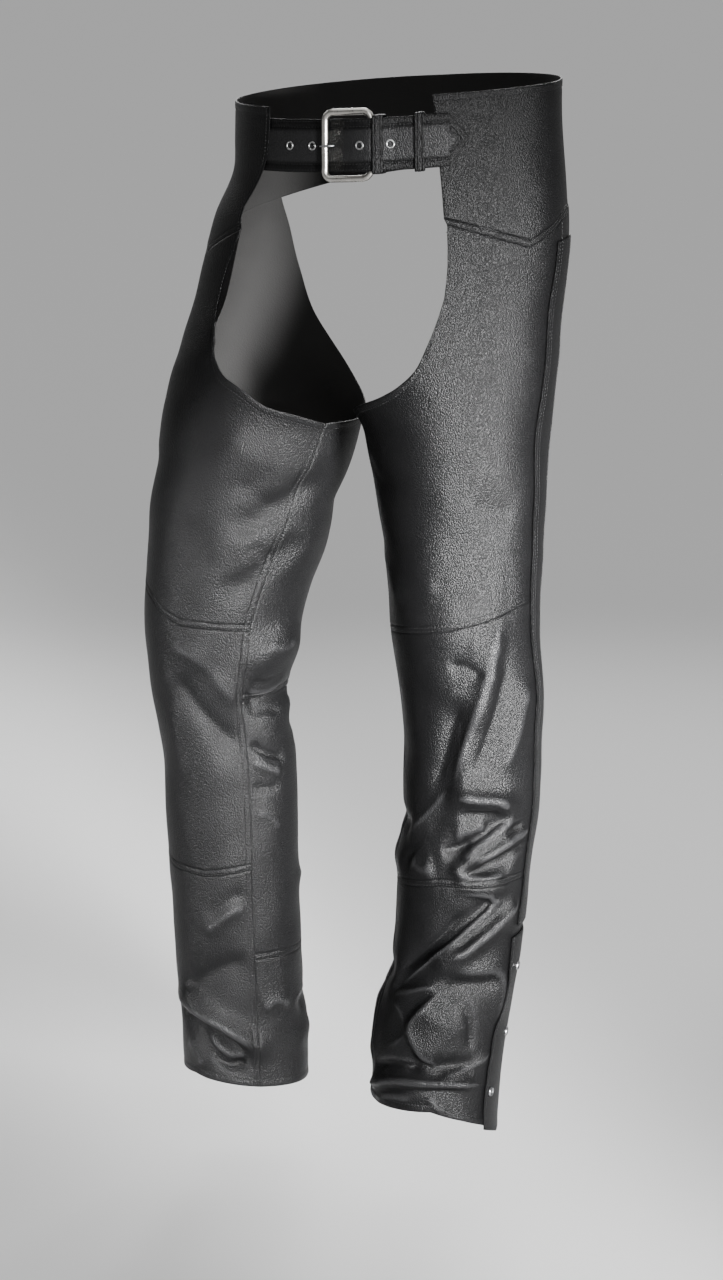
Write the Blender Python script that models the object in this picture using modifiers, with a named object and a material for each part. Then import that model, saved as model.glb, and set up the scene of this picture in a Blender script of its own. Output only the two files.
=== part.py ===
"""Leather riding chaps, hollow as they are worn: two legs that hang from a hip yoke and a buckled belt.

Metres, +Z up. The wearer faces -Y, so +X is the wearer's left. The origin is the middle of the waist at the
belt's mid height, where the wearer holds the garment up. Every cloth piece is a wall cut from one of two
charts: the hips (angle round the body, height) and a leg (angle round the leg, height).
"""

import math

import bmesh
import bpy
import numpy as np
from mathutils import Matrix, Vector

# Leather, its seams, and the angle past which an edge is a sharp one
LEATHER = 0.0018
SEAM_GAP = 0.0004
LAY_GAP = 0.0003
SHARP_ANGLE = 40.0

# The waist plane leans: the front is lower than the back, and the wearer's left is higher than the right
RISE_TO_BACK = 0.090
RISE_TO_LEFT = 0.055

# Heights above the waist plane
HIP_LINE = -0.150
CROTCH_LINE = -0.310

# Angles round a leg: 0 is the front of the leg, positive is its outer side
INSEAM = -80.0
OUTSEAM = 85.0
FULL_TURN = 360.0

# How a leg's angles open out on the hips: the outseam meets the side of the body
HIP_SIDE = 90.0
HIP_SPREAD = 0.75

# The small steps along a chart that its normals come from
STEP_ANGLE = 0.5
STEP_HEIGHT = 0.001

LEFT, RIGHT = 1, -1
SIDE_NAMES = {LEFT: "left", RIGHT: "right"}

BODY_COLUMNS = ("height", "centre_x", "centre_y", "half_width", "depth_front", "depth_back")
BODY_SECTIONS = (
    (0.060, 0.000, 0.000, 0.1735, 0.1195, 0.118),
    (0.030, 0.000, 0.000, 0.1738, 0.1198, 0.119),
    (0.000, 0.000, 0.000, 0.1745, 0.1200, 0.120),
    (-0.030, 0.000, 0.000, 0.1760, 0.1205, 0.122),
    (-0.080, -0.009, 0.000, 0.189, 0.123, 0.130),
    (-0.120, -0.014, 0.000, 0.196, 0.126, 0.136),
    (-0.180, -0.023, -0.002, 0.200, 0.130, 0.140),
    (-0.240, -0.031, -0.004, 0.203, 0.134, 0.138),
    (-0.310, -0.038, -0.006, 0.204, 0.136, 0.132),
)

LEG_COLUMNS = ("height", "centre_x", "centre_y", "half_width", "half_depth", "turn_out")
LEG_SECTIONS = {
    LEFT: (
        (-0.230, 0.074, -0.006, 0.100, 0.108, 8.0),
        (-0.295, 0.072, -0.012, 0.095, 0.104, 8.0),
        (-0.369, 0.080, -0.018, 0.086, 0.095, 9.0),
        (-0.430, 0.086, -0.025, 0.080, 0.088, 10.0),
        (-0.505, 0.091, -0.033, 0.076, 0.083, 12.0),
        (-0.562, 0.099, -0.036, 0.073, 0.078, 14.0),
        (-0.620, 0.102, -0.038, 0.070, 0.076, 15.0),
        (-0.690, 0.102, -0.041, 0.070, 0.076, 16.0),
        (-0.760, 0.096, -0.045, 0.068, 0.074, 16.0),
        (-0.849, 0.089, -0.047, 0.066, 0.072, 16.0),
        (-0.920, 0.077, -0.051, 0.067, 0.075, 16.0),
        (-1.000, 0.068, -0.053, 0.067, 0.080, 16.0),
        (-1.060, 0.066, -0.054, 0.068, 0.084, 16.0),
    ),
    RIGHT: (
        (-0.230, -0.136, -0.014, 0.104, 0.110, 14.0),
        (-0.328, -0.148, -0.023, 0.102, 0.108, 18.0),
        (-0.392, -0.161, -0.031, 0.097, 0.100, 24.0),
        (-0.438, -0.167, -0.035, 0.092, 0.095, 28.0),
        (-0.478, -0.176, -0.039, 0.086, 0.089, 31.0),
        (-0.530, -0.183, -0.042, 0.080, 0.083, 34.0),
        (-0.600, -0.184, -0.042, 0.073, 0.074, 36.0),
        (-0.663, -0.179, -0.036, 0.070, 0.071, 37.0),
        (-0.730, -0.178, -0.031, 0.069, 0.071, 37.0),
        (-0.801, -0.179, -0.025, 0.069, 0.070, 38.0),
        (-0.880, -0.179, -0.017, 0.069, 0.069, 39.0),
        (-0.960, -0.179, -0.005, 0.069, 0.068, 41.0),
        (-1.060, -0.180, 0.006, 0.070, 0.068, 43.0),
    ),
}

FOLD_COLUMNS = ("side", "angle_a", "height_a", "angle_b", "height_b", "width", "depth")
FOLDS = (
    (LEFT, 28, -0.546, -1, -0.658, 0.013, 0.0045),
    (LEFT, 2, -0.600, -22, -0.690, 0.020, -0.0045),
    (LEFT, -6, -0.668, 40, -0.678, 0.011, 0.0050),
    (LEFT, 34, -0.696, 0, -0.722, 0.012, -0.0070),
    (LEFT, 39, -0.712, 2, -0.740, 0.009, 0.0050),
    (LEFT, 44, -0.738, 12, -0.748, 0.008, -0.0040),
    (LEFT, 8, -0.756, 41, -0.764, 0.009, 0.0045),
    (LEFT, 32, -0.782, -46, -0.876, 0.012, -0.0060),
    (LEFT, 54, -0.790, -3, -0.842, 0.013, 0.0060),
    (LEFT, 10, -0.866, 44, -0.866, 0.010, -0.0050),
    (LEFT, 5, -0.906, 12, -0.906, 0.026, 0.0070),
    (LEFT, -12, -0.950, 34, -0.956, 0.010, -0.0060),
    (LEFT, -60, -0.984, 34, -0.974, 0.010, 0.0040),
    (LEFT, 34, -0.378, 3, -0.448, 0.026, -0.0030),
    (LEFT, -88, -0.905, -86, -0.955, 0.016, 0.0055),
    (LEFT, -92, -0.860, -70, -0.866, 0.012, -0.0045),
    (LEFT, -92, -0.698, -60, -0.706, 0.011, -0.0050),
    (LEFT, -92, -0.742, -62, -0.746, 0.014, 0.0045),
    (LEFT, 150, -0.560, 210, -0.590, 0.013, -0.0050),
    (LEFT, 140, -0.640, 200, -0.610, 0.014, -0.0045),
    (LEFT, 150, -0.740, 230, -0.790, 0.014, -0.0050),
    (LEFT, 160, -0.930, 230, -0.950, 0.013, -0.0060),
    (LEFT, 150, -0.960, 220, -0.985, 0.012, 0.0050),
    (LEFT, 170, -0.330, 225, -0.380, 0.018, -0.0045),
    (RIGHT, 150, -0.570, 200, -0.596, 0.013, -0.0050),
    (RIGHT, 140, -0.650, 205, -0.625, 0.014, -0.0045),
    (RIGHT, 150, -0.920, 220, -0.945, 0.013, -0.0055),
    (RIGHT, 150, -0.965, 230, -0.985, 0.012, 0.0030),
    (RIGHT, 170, -0.340, 225, -0.390, 0.018, -0.0045),
    (RIGHT, -80, -0.368, -58, -0.398, 0.016, -0.0050),
    (RIGHT, -88, -0.432, -64, -0.466, 0.015, -0.0045),
    (RIGHT, 232, -0.545, 268, -0.545, 0.022, 0.0075),
    (RIGHT, 222, -0.594, 268, -0.594, 0.013, -0.0085),
    (RIGHT, -54, -0.570, -72, -0.646, 0.022, -0.0030),
    (RIGHT, -12, -0.932, -79, -0.986, 0.013, 0.0060),
    (RIGHT, 0, -0.956, -60, -1.004, 0.012, -0.0060),
)

# One degree as a length: round a thigh, round a calf, and round the front of the belt
DEGREE_LENGTH = 0.0016
FOLD_DEGREE = 0.0013
BELT_DEGREE = 0.00304

# Seams and edges as rows of (angle, height). The opening's edge and the seat's edge run up from the inseam
# and down to it. The yoke's seam is in angles round the body, without their sign
OPENING_EDGE = {
    LEFT: (
        (-80.0, -0.288), (-60.0, -0.279), (-36.0, -0.266), (-24.0, -0.258), (-12.0, -0.246), (-1.0, -0.228),
        (6.0, -0.204), (10.5, -0.180), (13.0, -0.154), (13.5, -0.130), (12.5, -0.108), (11.0, -0.084),
    ),
    RIGHT: (
        (-80.0, -0.300), (-56.0, -0.286), (-38.0, -0.276), (-19.0, -0.256), (-3.0, -0.240), (8.0, -0.221),
        (14.0, -0.202), (20.5, -0.180), (24.5, -0.150), (23.5, -0.120), (20.5, -0.103), (18.5, -0.086),
    ),
}
YOKE_SEAM = {
    LEFT: ((34.5, -0.084), (50.0, -0.100), (67.0, -0.117), (90.0, -0.098)),
    RIGHT: ((40.0, -0.086), (52.0, -0.100), (67.0, -0.117), (90.0, -0.098)),
}
YOKE_TOP = {
    LEFT: ((28.0, 0.0455), (60.0, 0.0430), (90.0, 0.0405), (180.0, 0.0370)),
    RIGHT: ((33.0, 0.0380), (90.0, 0.0370), (180.0, 0.0370)),
}
YOKE_FRONT_EDGE = {
    LEFT: ((0.046, 28.6), (0.034, 29.2), (-0.030, 31.0), (-0.078, 33.4), (-0.084, 34.5)),
    RIGHT: (
        (0.046, 33.5), (0.020, 34.2), (-0.008, 35.0), (-0.034, 39.0), (-0.062, 43.0), (-0.074, 42.4),
        (-0.086, 40.0),
    ),
}
BACK_YOKE_SEAM = ((90.0, -0.098), (124.0, -0.080))
CENTRE_BACK_EDGE = ((124.0, -0.080), (146.0, -0.068), (180.0, -0.058))
SEAT_EDGE = {
    LEFT: (
        (138.0, -0.112), (147.0, -0.160), (160.0, -0.210), (180.0, -0.248), (205.0, -0.276), (240.0, -0.291),
        (280.0, -0.288),
    ),
    RIGHT: (
        (138.0, -0.112), (147.0, -0.160), (160.0, -0.212), (180.0, -0.254), (205.0, -0.284), (240.0, -0.301),
        (280.0, -0.300),
    ),
}
KNEE_SEAM = {
    LEFT: ((-80.0, -0.510), (-40.0, -0.503), (0.0, -0.495), (40.0, -0.481), (62.0, -0.474), (85.0, -0.472)),
    RIGHT: (
        (-80.0, -0.518), (-54.0, -0.515), (-27.0, -0.512), (-12.0, -0.505), (9.0, -0.488), (40.0, -0.476),
        (85.0, -0.470),
    ),
}
SHIN_SEAM = {
    LEFT: ((-80.0, -0.774), (-13.0, -0.761), (85.0, -0.761)),
    RIGHT: ((-80.0, -0.781), (-38.0, -0.790), (0.0, -0.786), (85.0, -0.770)),
}
BACK_KNEE_SEAM = ((85.0, -0.590), (280.0, -0.594))
ANKLE_SEAM = ((85.0, -0.884), (280.0, -0.884))
HEM = {
    LEFT: ((-80.0, -1.006), (5.0, -1.002), (33.0, -1.014), (85.0, -1.040), (180.0, -1.040), (280.0, -1.006)),
    RIGHT: ((-80.0, -1.032), (-14.0, -1.024), (85.0, -1.036), (180.0, -1.040), (280.0, -1.032)),
}

# How many cells each piece is drawn with, and how many steps a round or bent one has
ROUND_STEPS = 12
CORNER_STEPS = 4
SIDE_STEPS = 4
HOOK_STEPS = 9
SHANK_STEPS = 15
BEND_STEPS = 8
OPENING_COLUMNS = 10
YOKE_SEAM_CELLS = (2, 2, 2)
BACK_YOKE_CELLS = 4
CENTRE_BACK_CELLS = 5
SEAT_CELLS = 10
YOKE_ROWS = 4
YOKE_EDGE_REACH = 34.0
# Rows of cells down a leg, between the lines that its seams follow: knee, back of the knee, shin and ankle.
# Each piece takes the stretches between two of them, so both sides of an upright seam have the same rows
LEG_ROWS = (8, 3, 7, 4, 5)
FRONT_PIECES = (("front_thigh", 0, 1), ("front_knee", 1, 3), ("front_shin", 3, 5))
BACK_PIECES = (("back_thigh", 0, 2), ("back_calf", 2, 4), ("back_ankle", 4, 5))

# The flaps on the outseam: height, front edge and back edge round the leg. They lie on the panels
FLAP_LAY = 0.0006
ZIP_FLAP = ((-0.118, 77.0, 101.0), (-0.300, 72.5, 100.0), (-0.480, 73.5, 100.0), (-0.815, 72.0, 100.0))
SNAP_FLAP = ((-0.824, 62.0, 112.0), (-0.900, 60.0, 112.0), (-1.046, 58.0, 110.0))
SNAP_FLAP_OVERHANG = 0.005
FLAP_COLUMNS = {"zip_flap": 0, "snap_flap": 2}
SNAP_LAY = 0.0004
SNAP_PROFILE = ((0.0, 0.0021), (0.0026, 0.0018), (0.0044, 0.0010), (0.0048, 0.0), (0.0, 0.0))
SNAPS = {
    LEFT: ((80.0, -0.860), (84.0, -0.934), (66.0, -0.993)),
    RIGHT: ((80.0, -0.860), (84.0, -0.934), (66.0, -0.993)),
}

# Buckle: a bent rod whose left bar lies on the tongue and whose right bar carries the chape and the prong
FRAME_ROD = 0.0034
FRAME_CORNER = 0.0085
FRAME_HALF_HEIGHT = 0.0330
BAR_LEFT, BAR_LEFT_OUT = -8.4, 0.0018
BAR_RIGHT, BAR_RIGHT_OUT = 7.7, -0.0003
PRONG_ROD = 0.0012
HOOK_START, HOOK_END = -165.0, 95.0
PRONG_SHANK = (
    (4.5, 0.0028), (1.2, -0.0010), (-1.4, -0.0024), (-4.6, 0.0008), (-6.4, 0.0046), (-8.4, 0.0068),
    (-10.0, 0.0064),
)

# Belt: the middle line of each strap as rows of (angle, distance out from the yoke's outer face)
TONGUE_THICKNESS = 0.0030
TONGUE_CELLS = 32
STRAP_COLUMNS = 4
TONGUE_PATH = (
    (-42.0, -0.0038), (-34.0, -0.0038), (-26.0, -0.0034), (-16.0, -0.0035), (-8.6, -0.0035),
    (-6.0, -0.0016), (-3.6, 0.0014), (-0.8, 0.0050), (3.0, 0.0072), (7.7, 0.0080),
    (11.0, 0.0062), (14.2, 0.0038), (18.0, 0.0022), (30.0, 0.0020), (41.5, 0.0020),
)
BELT_HALF = 0.0262
TONGUE_SHOULDER = 34.5
TIP_HALF = 0.0014
HOLES = 5
FIRST_HOLE = -23.6
HOLE_STEP = 9.55
USED_HOLE = 2
HOLE_RADIUS = 0.0031
USED_HOLE_RADIUS = 0.0042
EYELET_RIM = 0.0046
EYELET_WALL = 0.0006
CHAPE_THICKNESS = 0.0018
CHAPE_HALF = 0.0235
CHAPE_UNDER = ((38.0, -0.0031), (30.0, -0.0031), (26.0, -0.0044), (21.0, -0.0045), (14.0, -0.0045))
CHAPE_OVER = ((11.0, 0.0020), (13.5, -0.0004), (15.5, -0.0013), (17.5, -0.0016), (21.0, -0.0016))
CHAPE_SPLIT = 0.0005
PRONG_SLOT = 0.0024
KEEPER_WIDTH = 0.0098
KEEPER_THICKNESS = 0.0018
KEEPER_LIFT = 0.0004
KEEPER_UNDER = -0.0062
KEEPER_HALF = 0.0274
KEEPER_LOOP = ((-1, 0), (-1, 0.5), (-1, 1), (-0.5, 1), (0, 1), (0.5, 1), (1, 1), (1, 0.5), (1, 0), (0, 0))
FIRST_KEEPER, SECOND_KEEPER = 10.8, 24.3


def column_at(columns, sections, name, heights):
    """The named column of a section table at the given heights, as a smooth cubic through its rows."""
    table = np.array(sections)[::-1]
    rows, values = table[:, 0], table[:, columns.index(name)]
    slopes = np.gradient(values, rows)
    i = np.clip(np.searchsorted(rows, heights) - 1, 0, len(rows) - 2)
    step = rows[i + 1] - rows[i]
    t = np.clip((heights - rows[i]) / step, 0.0, 1.0)
    return (
        values[i] * (2 * t**3 - 3 * t**2 + 1)
        + slopes[i] * step * (t**3 - 2 * t**2 + t)
        + values[i + 1] * (3 * t**2 - 2 * t**3)
        + slopes[i + 1] * step * (t**3 - t**2)
    )


def body_point(angle, height):
    """A point of the leather's outer face on the hips. Angle 0 is the front, and 90 the left side."""
    angle, height = np.broadcast_arrays(np.asarray(angle, float), np.asarray(height, float))
    at = {name: column_at(BODY_COLUMNS, BODY_SECTIONS, name, height) for name in BODY_COLUMNS[1:]}
    turn = np.radians(angle)
    depth = np.where(np.cos(turn) > 0, at["depth_front"], at["depth_back"])
    x = at["half_width"] * np.sin(turn)
    y = -depth * np.cos(turn)
    z = height + RISE_TO_BACK * y + RISE_TO_LEFT * x
    return np.stack([at["centre_x"] + x, at["centre_y"] + y, z], axis=-1)


def fold_relief(side, angle, height):
    """How far the folds push the leather out: each is a soft ridge or trough along a line on the chart."""
    relief = np.zeros(angle.shape)
    for row in FOLDS:
        fold = dict(zip(FOLD_COLUMNS, row))
        if fold["side"] != side:
            continue
        across = ((angle - fold["angle_a"] + FULL_TURN / 2) % FULL_TURN - FULL_TURN / 2) * FOLD_DEGREE
        down = height - fold["height_a"]
        along = (fold["angle_b"] - fold["angle_a"]) * FOLD_DEGREE
        drop = fold["height_b"] - fold["height_a"]
        share = np.clip((across * along + down * drop) / (along**2 + drop**2), 0.0, 1.0)
        away = np.hypot(across - share * along, down - share * drop)
        relief += fold["depth"] * np.exp(-((away / fold["width"]) ** 2))
    return relief


def leg_point(side, angle, height):
    """A point of a leg's outer face. Above the crotch the leg's ring opens out into the hips."""
    angle, height = np.broadcast_arrays(np.asarray(angle, float), np.asarray(height, float))
    sections = LEG_SECTIONS[side]
    at = {name: column_at(LEG_COLUMNS, sections, name, height) for name in LEG_COLUMNS[1:]}
    around, turn = np.radians(angle), np.radians(at["turn_out"])
    relief = fold_relief(side, angle, height)
    x = (at["half_width"] + relief) * np.sin(around)
    y = -(at["half_depth"] + relief) * np.cos(around)
    ring = np.stack(
        [
            at["centre_x"] + side * (x * np.cos(turn) - y * np.sin(turn)),
            at["centre_y"] + x * np.sin(turn) + y * np.cos(turn),
            height,
        ],
        axis=-1,
    )
    hips = body_point(side * (HIP_SIDE + (angle - OUTSEAM) * HIP_SPREAD), height)
    t = np.clip((height - CROTCH_LINE) / (HIP_LINE - CROTCH_LINE), 0.0, 1.0)
    share = (t * t * (3 - 2 * t))[..., None]
    return ring * (1 - share) + hips * share


def smooth_path(rows, count):
    """The rows of a table as a smooth open curve, read at a number of places an equal length apart."""
    rows = np.array(rows, float)
    ends = np.vstack([2 * rows[0] - rows[1], rows, 2 * rows[-1] - rows[-2]])
    fine = []
    t = np.linspace(0, 1, 24, endpoint=False)[:, None]
    for a, b, c, d in zip(ends, ends[1:], ends[2:], ends[3:]):
        bend = (2 * a - 5 * b + 4 * c - d) * t**2 + (3 * b - a - 3 * c + d) * t**3
        fine.append(b + ((c - a) * t + bend) / 2)
    fine = np.vstack(fine + [rows[-1:]])
    metres = fine * np.array([DEGREE_LENGTH, 1.0])
    length = np.concatenate([[0.0], np.cumsum(np.linalg.norm(np.diff(metres, axis=0), axis=1))])
    at = np.linspace(0, length[-1], count)
    return np.stack([np.interp(at, length, fine[:, k]) for k in range(2)], axis=-1)


def leg_angle(hip_angle):
    """The angle round a leg of a line at this angle, without its sign, round the hips."""
    return OUTSEAM + (abs(hip_angle) - HIP_SIDE) / HIP_SPREAD


def seam_height(rows, angles):
    """The height of a seam at the given angles: straight runs between its rows."""
    rows = np.array(rows, float)
    return np.interp(angles, rows[:, 0], rows[:, 1])


def with_normals(chart, angle, height):
    """The chart's points, and its outward normals from small steps along both of its directions."""
    along = chart(angle + STEP_ANGLE, height) - chart(angle - STEP_ANGLE, height)
    up = chart(angle, height + STEP_HEIGHT) - chart(angle, height - STEP_HEIGHT)
    normal = np.cross(along, up)
    normal /= np.linalg.norm(normal, axis=-1, keepdims=True)
    return chart(angle, height), normal


def leg_chart(side):
    """A leg's chart with the normals pointing out: the right leg's angles run the other way round."""

    def place(angle, height, out):
        points, normal = with_normals(lambda a, h: leg_point(side, a, h), angle, height)
        return points + side * normal * np.asarray(out)[..., None]

    return place


def hip_chart(angle, height, out):
    """The hips' chart, moved out from the leather's outer face."""
    points, normal = with_normals(body_point, angle, height)
    return points + normal * np.asarray(out)[..., None]


# Building the solids


def clear_scene():
    for obj in list(bpy.data.objects):
        bpy.data.objects.remove(obj)


def finish(name, colour, roughness, metallic):
    made = bpy.data.materials.new(name)
    made.use_nodes = True
    shader = made.node_tree.nodes["Principled BSDF"]
    shader.inputs["Base Color"].default_value = (*colour, 1.0)
    shader.inputs["Roughness"].default_value = roughness
    shader.inputs["Metallic"].default_value = metallic
    return made


def add_object(name, data, material, collection):
    obj = bpy.data.objects.new(name, data)
    data.materials.append(material)
    collection.objects.link(obj)
    return obj


def wall_between(name, outer, inner, material, collection, ring=False):
    """A closed wall between two facing grids of points, with a rim along each open edge.

    The grids are skinned by hand because both sides share the chart's normals: neighbouring pieces then keep
    parallel rims at their seam. Each rim is cut along the same diagonals as its neighbour's. A ring's last
    row meets its first.
    """
    rows, columns = outer.shape[:2]
    count = rows * columns
    points = np.concatenate([outer.reshape(-1, 3), inner.reshape(-1, 3)])
    index = np.arange(count).reshape(rows, columns)
    below = np.roll(index, -1, axis=0)
    if not ring:
        index, below = index[:-1], below[:-1]
    a, b, c, d = index[:, :-1], below[:, :-1], below[:, 1:], index[:, 1:]
    skin = np.concatenate([np.stack(t, axis=-1).reshape(-1, 3) for t in ((a, b, c), (a, c, d))])
    edges = [np.stack([index[:, k], below[:, k]], axis=-1) for k in (0, -1)]
    if not ring:
        edges += [np.stack([line[:-1], line[1:]], axis=-1) for line in (index[0], below[-1])]
    near, far = np.concatenate(edges).T
    rims = [np.stack(t, axis=-1) for t in ((near, near + count, far + count), (near, far + count, far))]
    faces = np.concatenate([skin, skin[:, ::-1] + count, *rims])
    mesh = bpy.data.meshes.new(name)
    mesh.from_pydata(points.tolist(), [], faces.tolist())
    work = bmesh.new()
    work.from_mesh(mesh)
    bmesh.ops.recalc_face_normals(work, faces=work.faces)
    work.to_mesh(mesh)
    work.free()
    mesh.shade_smooth()
    mesh.set_sharp_from_angle(angle=math.radians(SHARP_ANGLE))
    return add_object(name, mesh, material, collection)


def cloth_wall(name, chart, angles, heights, material, collection, out=0.0, thickness=LEATHER):
    """A cut piece of leather. Its outer face lies on the chart, or above it by out."""
    out = np.broadcast_to(np.asarray(out, float), angles.shape)
    outer, inner = chart(angles, heights, out), chart(angles, heights, out - thickness)
    return wall_between(name, outer, inner, material, collection)


def leg_rows(guides):
    """Every row of a leg's front or back: straight runs down each column from one guide line to the next."""
    rows = [guides[0][None]]
    for above, below, cells in zip(guides, guides[1:], LEG_ROWS):
        share = (np.arange(cells) + 1)[:, None, None] / cells
        rows.append(above[None] * (1 - share) + below[None] * share)
    return np.concatenate(rows)


def cut_piece(rows, first, last):
    """The rows from one guide line to another, drawn back by half of the seam's gap on all four sides."""
    start, end = sum(LEG_ROWS[:first]), sum(LEG_ROWS[:last])
    grid = rows[start : end + 1].copy()
    scale = np.array([DEGREE_LENGTH, 1.0])
    for edge, beside in ((0, 1), (-1, -2)):
        run = (grid[beside] - grid[edge]) * scale
        run /= np.linalg.norm(run, axis=-1, keepdims=True)
        grid[edge] += run / scale * (SEAM_GAP / 2)
    for edge, sign in ((0, 1), (-1, -1)):
        grid[:, edge, 0] += sign * SEAM_GAP / 2 / DEGREE_LENGTH
    return grid[..., 0], grid[..., 1]


def level_line(angles, start, end):
    """A guide line that runs straight from a height at the first column to a height at the last one."""
    share = (angles - angles[0]) / (angles[-1] - angles[0])
    return np.stack([angles, start + (end - start) * share], axis=-1)


def seam_line(rows, angles):
    return np.stack([angles, seam_height(rows, angles)], axis=-1)


def front_columns(side):
    """The top of a front panel: the edge of the front opening from the inseam up, then the yoke seam."""
    opening = smooth_path(OPENING_EDGE[side], OPENING_COLUMNS + 1)
    corners = np.array([(leg_angle(angle), height) for angle, height in YOKE_SEAM[side]])
    runs = []
    for start, end, cells in zip(corners, corners[1:], YOKE_SEAM_CELLS):
        runs.append(np.linspace(start, end, cells + 1)[1:])
    return np.vstack([opening, *runs])


def front_rows(side):
    """The rows of a leg's front, from the opening and the yoke down to the hem."""
    top = front_columns(side)
    angles = np.linspace(INSEAM, OUTSEAM, len(top))
    behind = [level_line(angles, rows[-1][1], rows[0][1]) for rows in (BACK_KNEE_SEAM, ANKLE_SEAM)]
    knee, shin, hem = (seam_line(rows, angles) for rows in (KNEE_SEAM[side], SHIN_SEAM[side], HEM[side]))
    return leg_rows((top, knee, behind[0], shin, behind[1], hem))


def back_rows(side):
    """The rows of a leg's back, from the yoke and the open seat down to the hem."""
    under_yoke = [(leg_angle(angle), height) for angle, height in BACK_YOKE_SEAM]
    first = np.linspace(under_yoke[0][0], under_yoke[1][0], BACK_YOKE_CELLS + 1)
    seat = smooth_path([under_yoke[1], *SEAT_EDGE[side]], SEAT_CELLS + 1)
    top = np.vstack([seam_line(under_yoke, first), seat[1:]])
    angles = np.linspace(OUTSEAM, INSEAM + FULL_TURN, len(top))
    ahead = [level_line(angles, rows[-1][1], rows[0][1]) for rows in (KNEE_SEAM[side], SHIN_SEAM[side])]
    knee, ankle, hem = (seam_line(rows, angles) for rows in (BACK_KNEE_SEAM, ANKLE_SEAM, HEM[side]))
    return leg_rows((top, ahead[0], knee, ahead[1], ankle, hem))


def make_leg(side, leather, collection):
    """A leg's panels, sewn edge to edge: thigh, knee and shin in front, and thigh, calf and ankle behind."""
    name, chart = SIDE_NAMES[side], leg_chart(side)
    for rows, pieces in ((front_rows(side), FRONT_PIECES), (back_rows(side), BACK_PIECES)):
        for piece, first, last in pieces:
            cloth_wall(f"{piece}_{name}", chart, *cut_piece(rows, first, last), leather, collection)


def make_flaps(side, leather, collection):
    """The flap over the leg's long zip, and the wider one with the snaps at the bottom.

    A flap has the rows and the columns of the panels that it lies on, and its own two edges.
    """
    name, chart = SIDE_NAMES[side], leg_chart(side)
    around = np.concatenate([front_rows(side), back_rows(side)[:, 1:]], axis=1)
    outseam = OPENING_COLUMNS + sum(YOKE_SEAM_CELLS)
    for piece, edges in (("zip_flap", ZIP_FLAP), ("snap_flap", SNAP_FLAP)):
        table = np.array(edges)[::-1]
        at = around[:, outseam, 1]
        inside = (at < table[-1, 0]) & (at > table[0, 0])
        at = np.concatenate([table[-1:, 0], at[inside], table[:1, 0]])
        front, back = (np.interp(at, table[:, 0], table[:, k]) for k in (1, 2))
        indices = np.arange(len(around))
        angles, heights = [], []
        for height, first, last in zip(at, front, back):
            row = np.interp(-height, -around[:, outseam, 1], indices)
            share = row - int(row)
            line = around[int(row)] * (1 - share) + around[min(int(row) + 1, len(around) - 1)] * share
            inner = line[outseam - FLAP_COLUMNS[piece] : outseam + 2, 0]
            angles.append([first, *inner, last])
            heights.append(np.interp(angles[-1], line[:, 0], line[:, 1]))
        angles, heights = np.array(angles), np.array(heights)
        if piece == "snap_flap":
            heights[-1] -= SNAP_FLAP_OVERHANG
        cloth_wall(f"{piece}_{name}", chart, angles, heights, leather, collection, out=LEATHER + FLAP_LAY)


def make_yoke(side, leather, collection):
    """A hip yoke, from the front edge, where the belt is sewn in, to the seam at the middle of the back."""
    seam = front_columns(side)[OPENING_COLUMNS:]
    hips = (HIP_SIDE + (seam[:, 0] - OUTSEAM) * HIP_SPREAD)[:, None]
    lower = np.hstack([hips, seam[:, 1:]])
    back_angles = np.linspace(BACK_YOKE_SEAM[0][0], BACK_YOKE_SEAM[1][0], BACK_YOKE_CELLS + 1)[1:]
    under = np.stack([back_angles, seam_height(BACK_YOKE_SEAM, back_angles)], axis=-1)
    rest_angles = np.linspace(BACK_YOKE_SEAM[1][0], 180.0, CENTRE_BACK_CELLS + 1)[1:]
    rest = np.stack([rest_angles, seam_height(CENTRE_BACK_EDGE, rest_angles)], axis=-1)
    lower = np.vstack([lower, under, rest])
    lower[-1, 0] -= SEAM_GAP / 2 / DEGREE_LENGTH
    share = np.linspace(0, 1, YOKE_ROWS + 1)[:, None]
    low = lower[None, :, 1] + SEAM_GAP / 2
    heights = low + (seam_height(YOKE_TOP[side], lower[None, :, 0]) - low) * share
    fade = np.clip(1 - (lower[:, 0] - lower[0, 0]) / YOKE_EDGE_REACH, 0, 1) ** 2
    front = np.interp(heights[:, 0], *np.array(YOKE_FRONT_EDGE[side])[::-1].T)
    angles = lower[None, :, 0] + (front - lower[0, 0])[:, None] * fade[None]

    def chart(angle, height, out):
        points, normal = with_normals(lambda a, h: body_point(side * a, h), angle, height)
        return points + side * normal * np.asarray(out)[..., None]

    cloth_wall(f"yoke_{SIDE_NAMES[side]}", chart, angles, heights, leather, collection)


def strap_frame(path, count):
    """A strap's middle line, as angle and distance out, read evenly, with its normals in that section."""
    line = smooth_path(path, count)
    metres = line * np.array([BELT_DEGREE, 1.0])
    tangent = np.gradient(metres, axis=0)
    tangent /= np.linalg.norm(tangent, axis=1, keepdims=True)
    return metres, np.stack([-tangent[:, 1], tangent[:, 0]], axis=-1)


def strap(name, line, normal, heights, thickness, material, collection):
    """A strap with the given middle line. Heights has a row of heights for each place along it."""
    faces = []
    for sign in (1, -1):
        at = line + normal * (sign * thickness / 2)
        angle = np.repeat((at[:, 0] / BELT_DEGREE)[:, None], heights.shape[1], axis=1)
        out = np.repeat(at[:, 1][:, None], heights.shape[1], axis=1)
        faces.append(hip_chart(angle, heights, out))
    return wall_between(name, faces[0], faces[1], material, collection)


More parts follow.
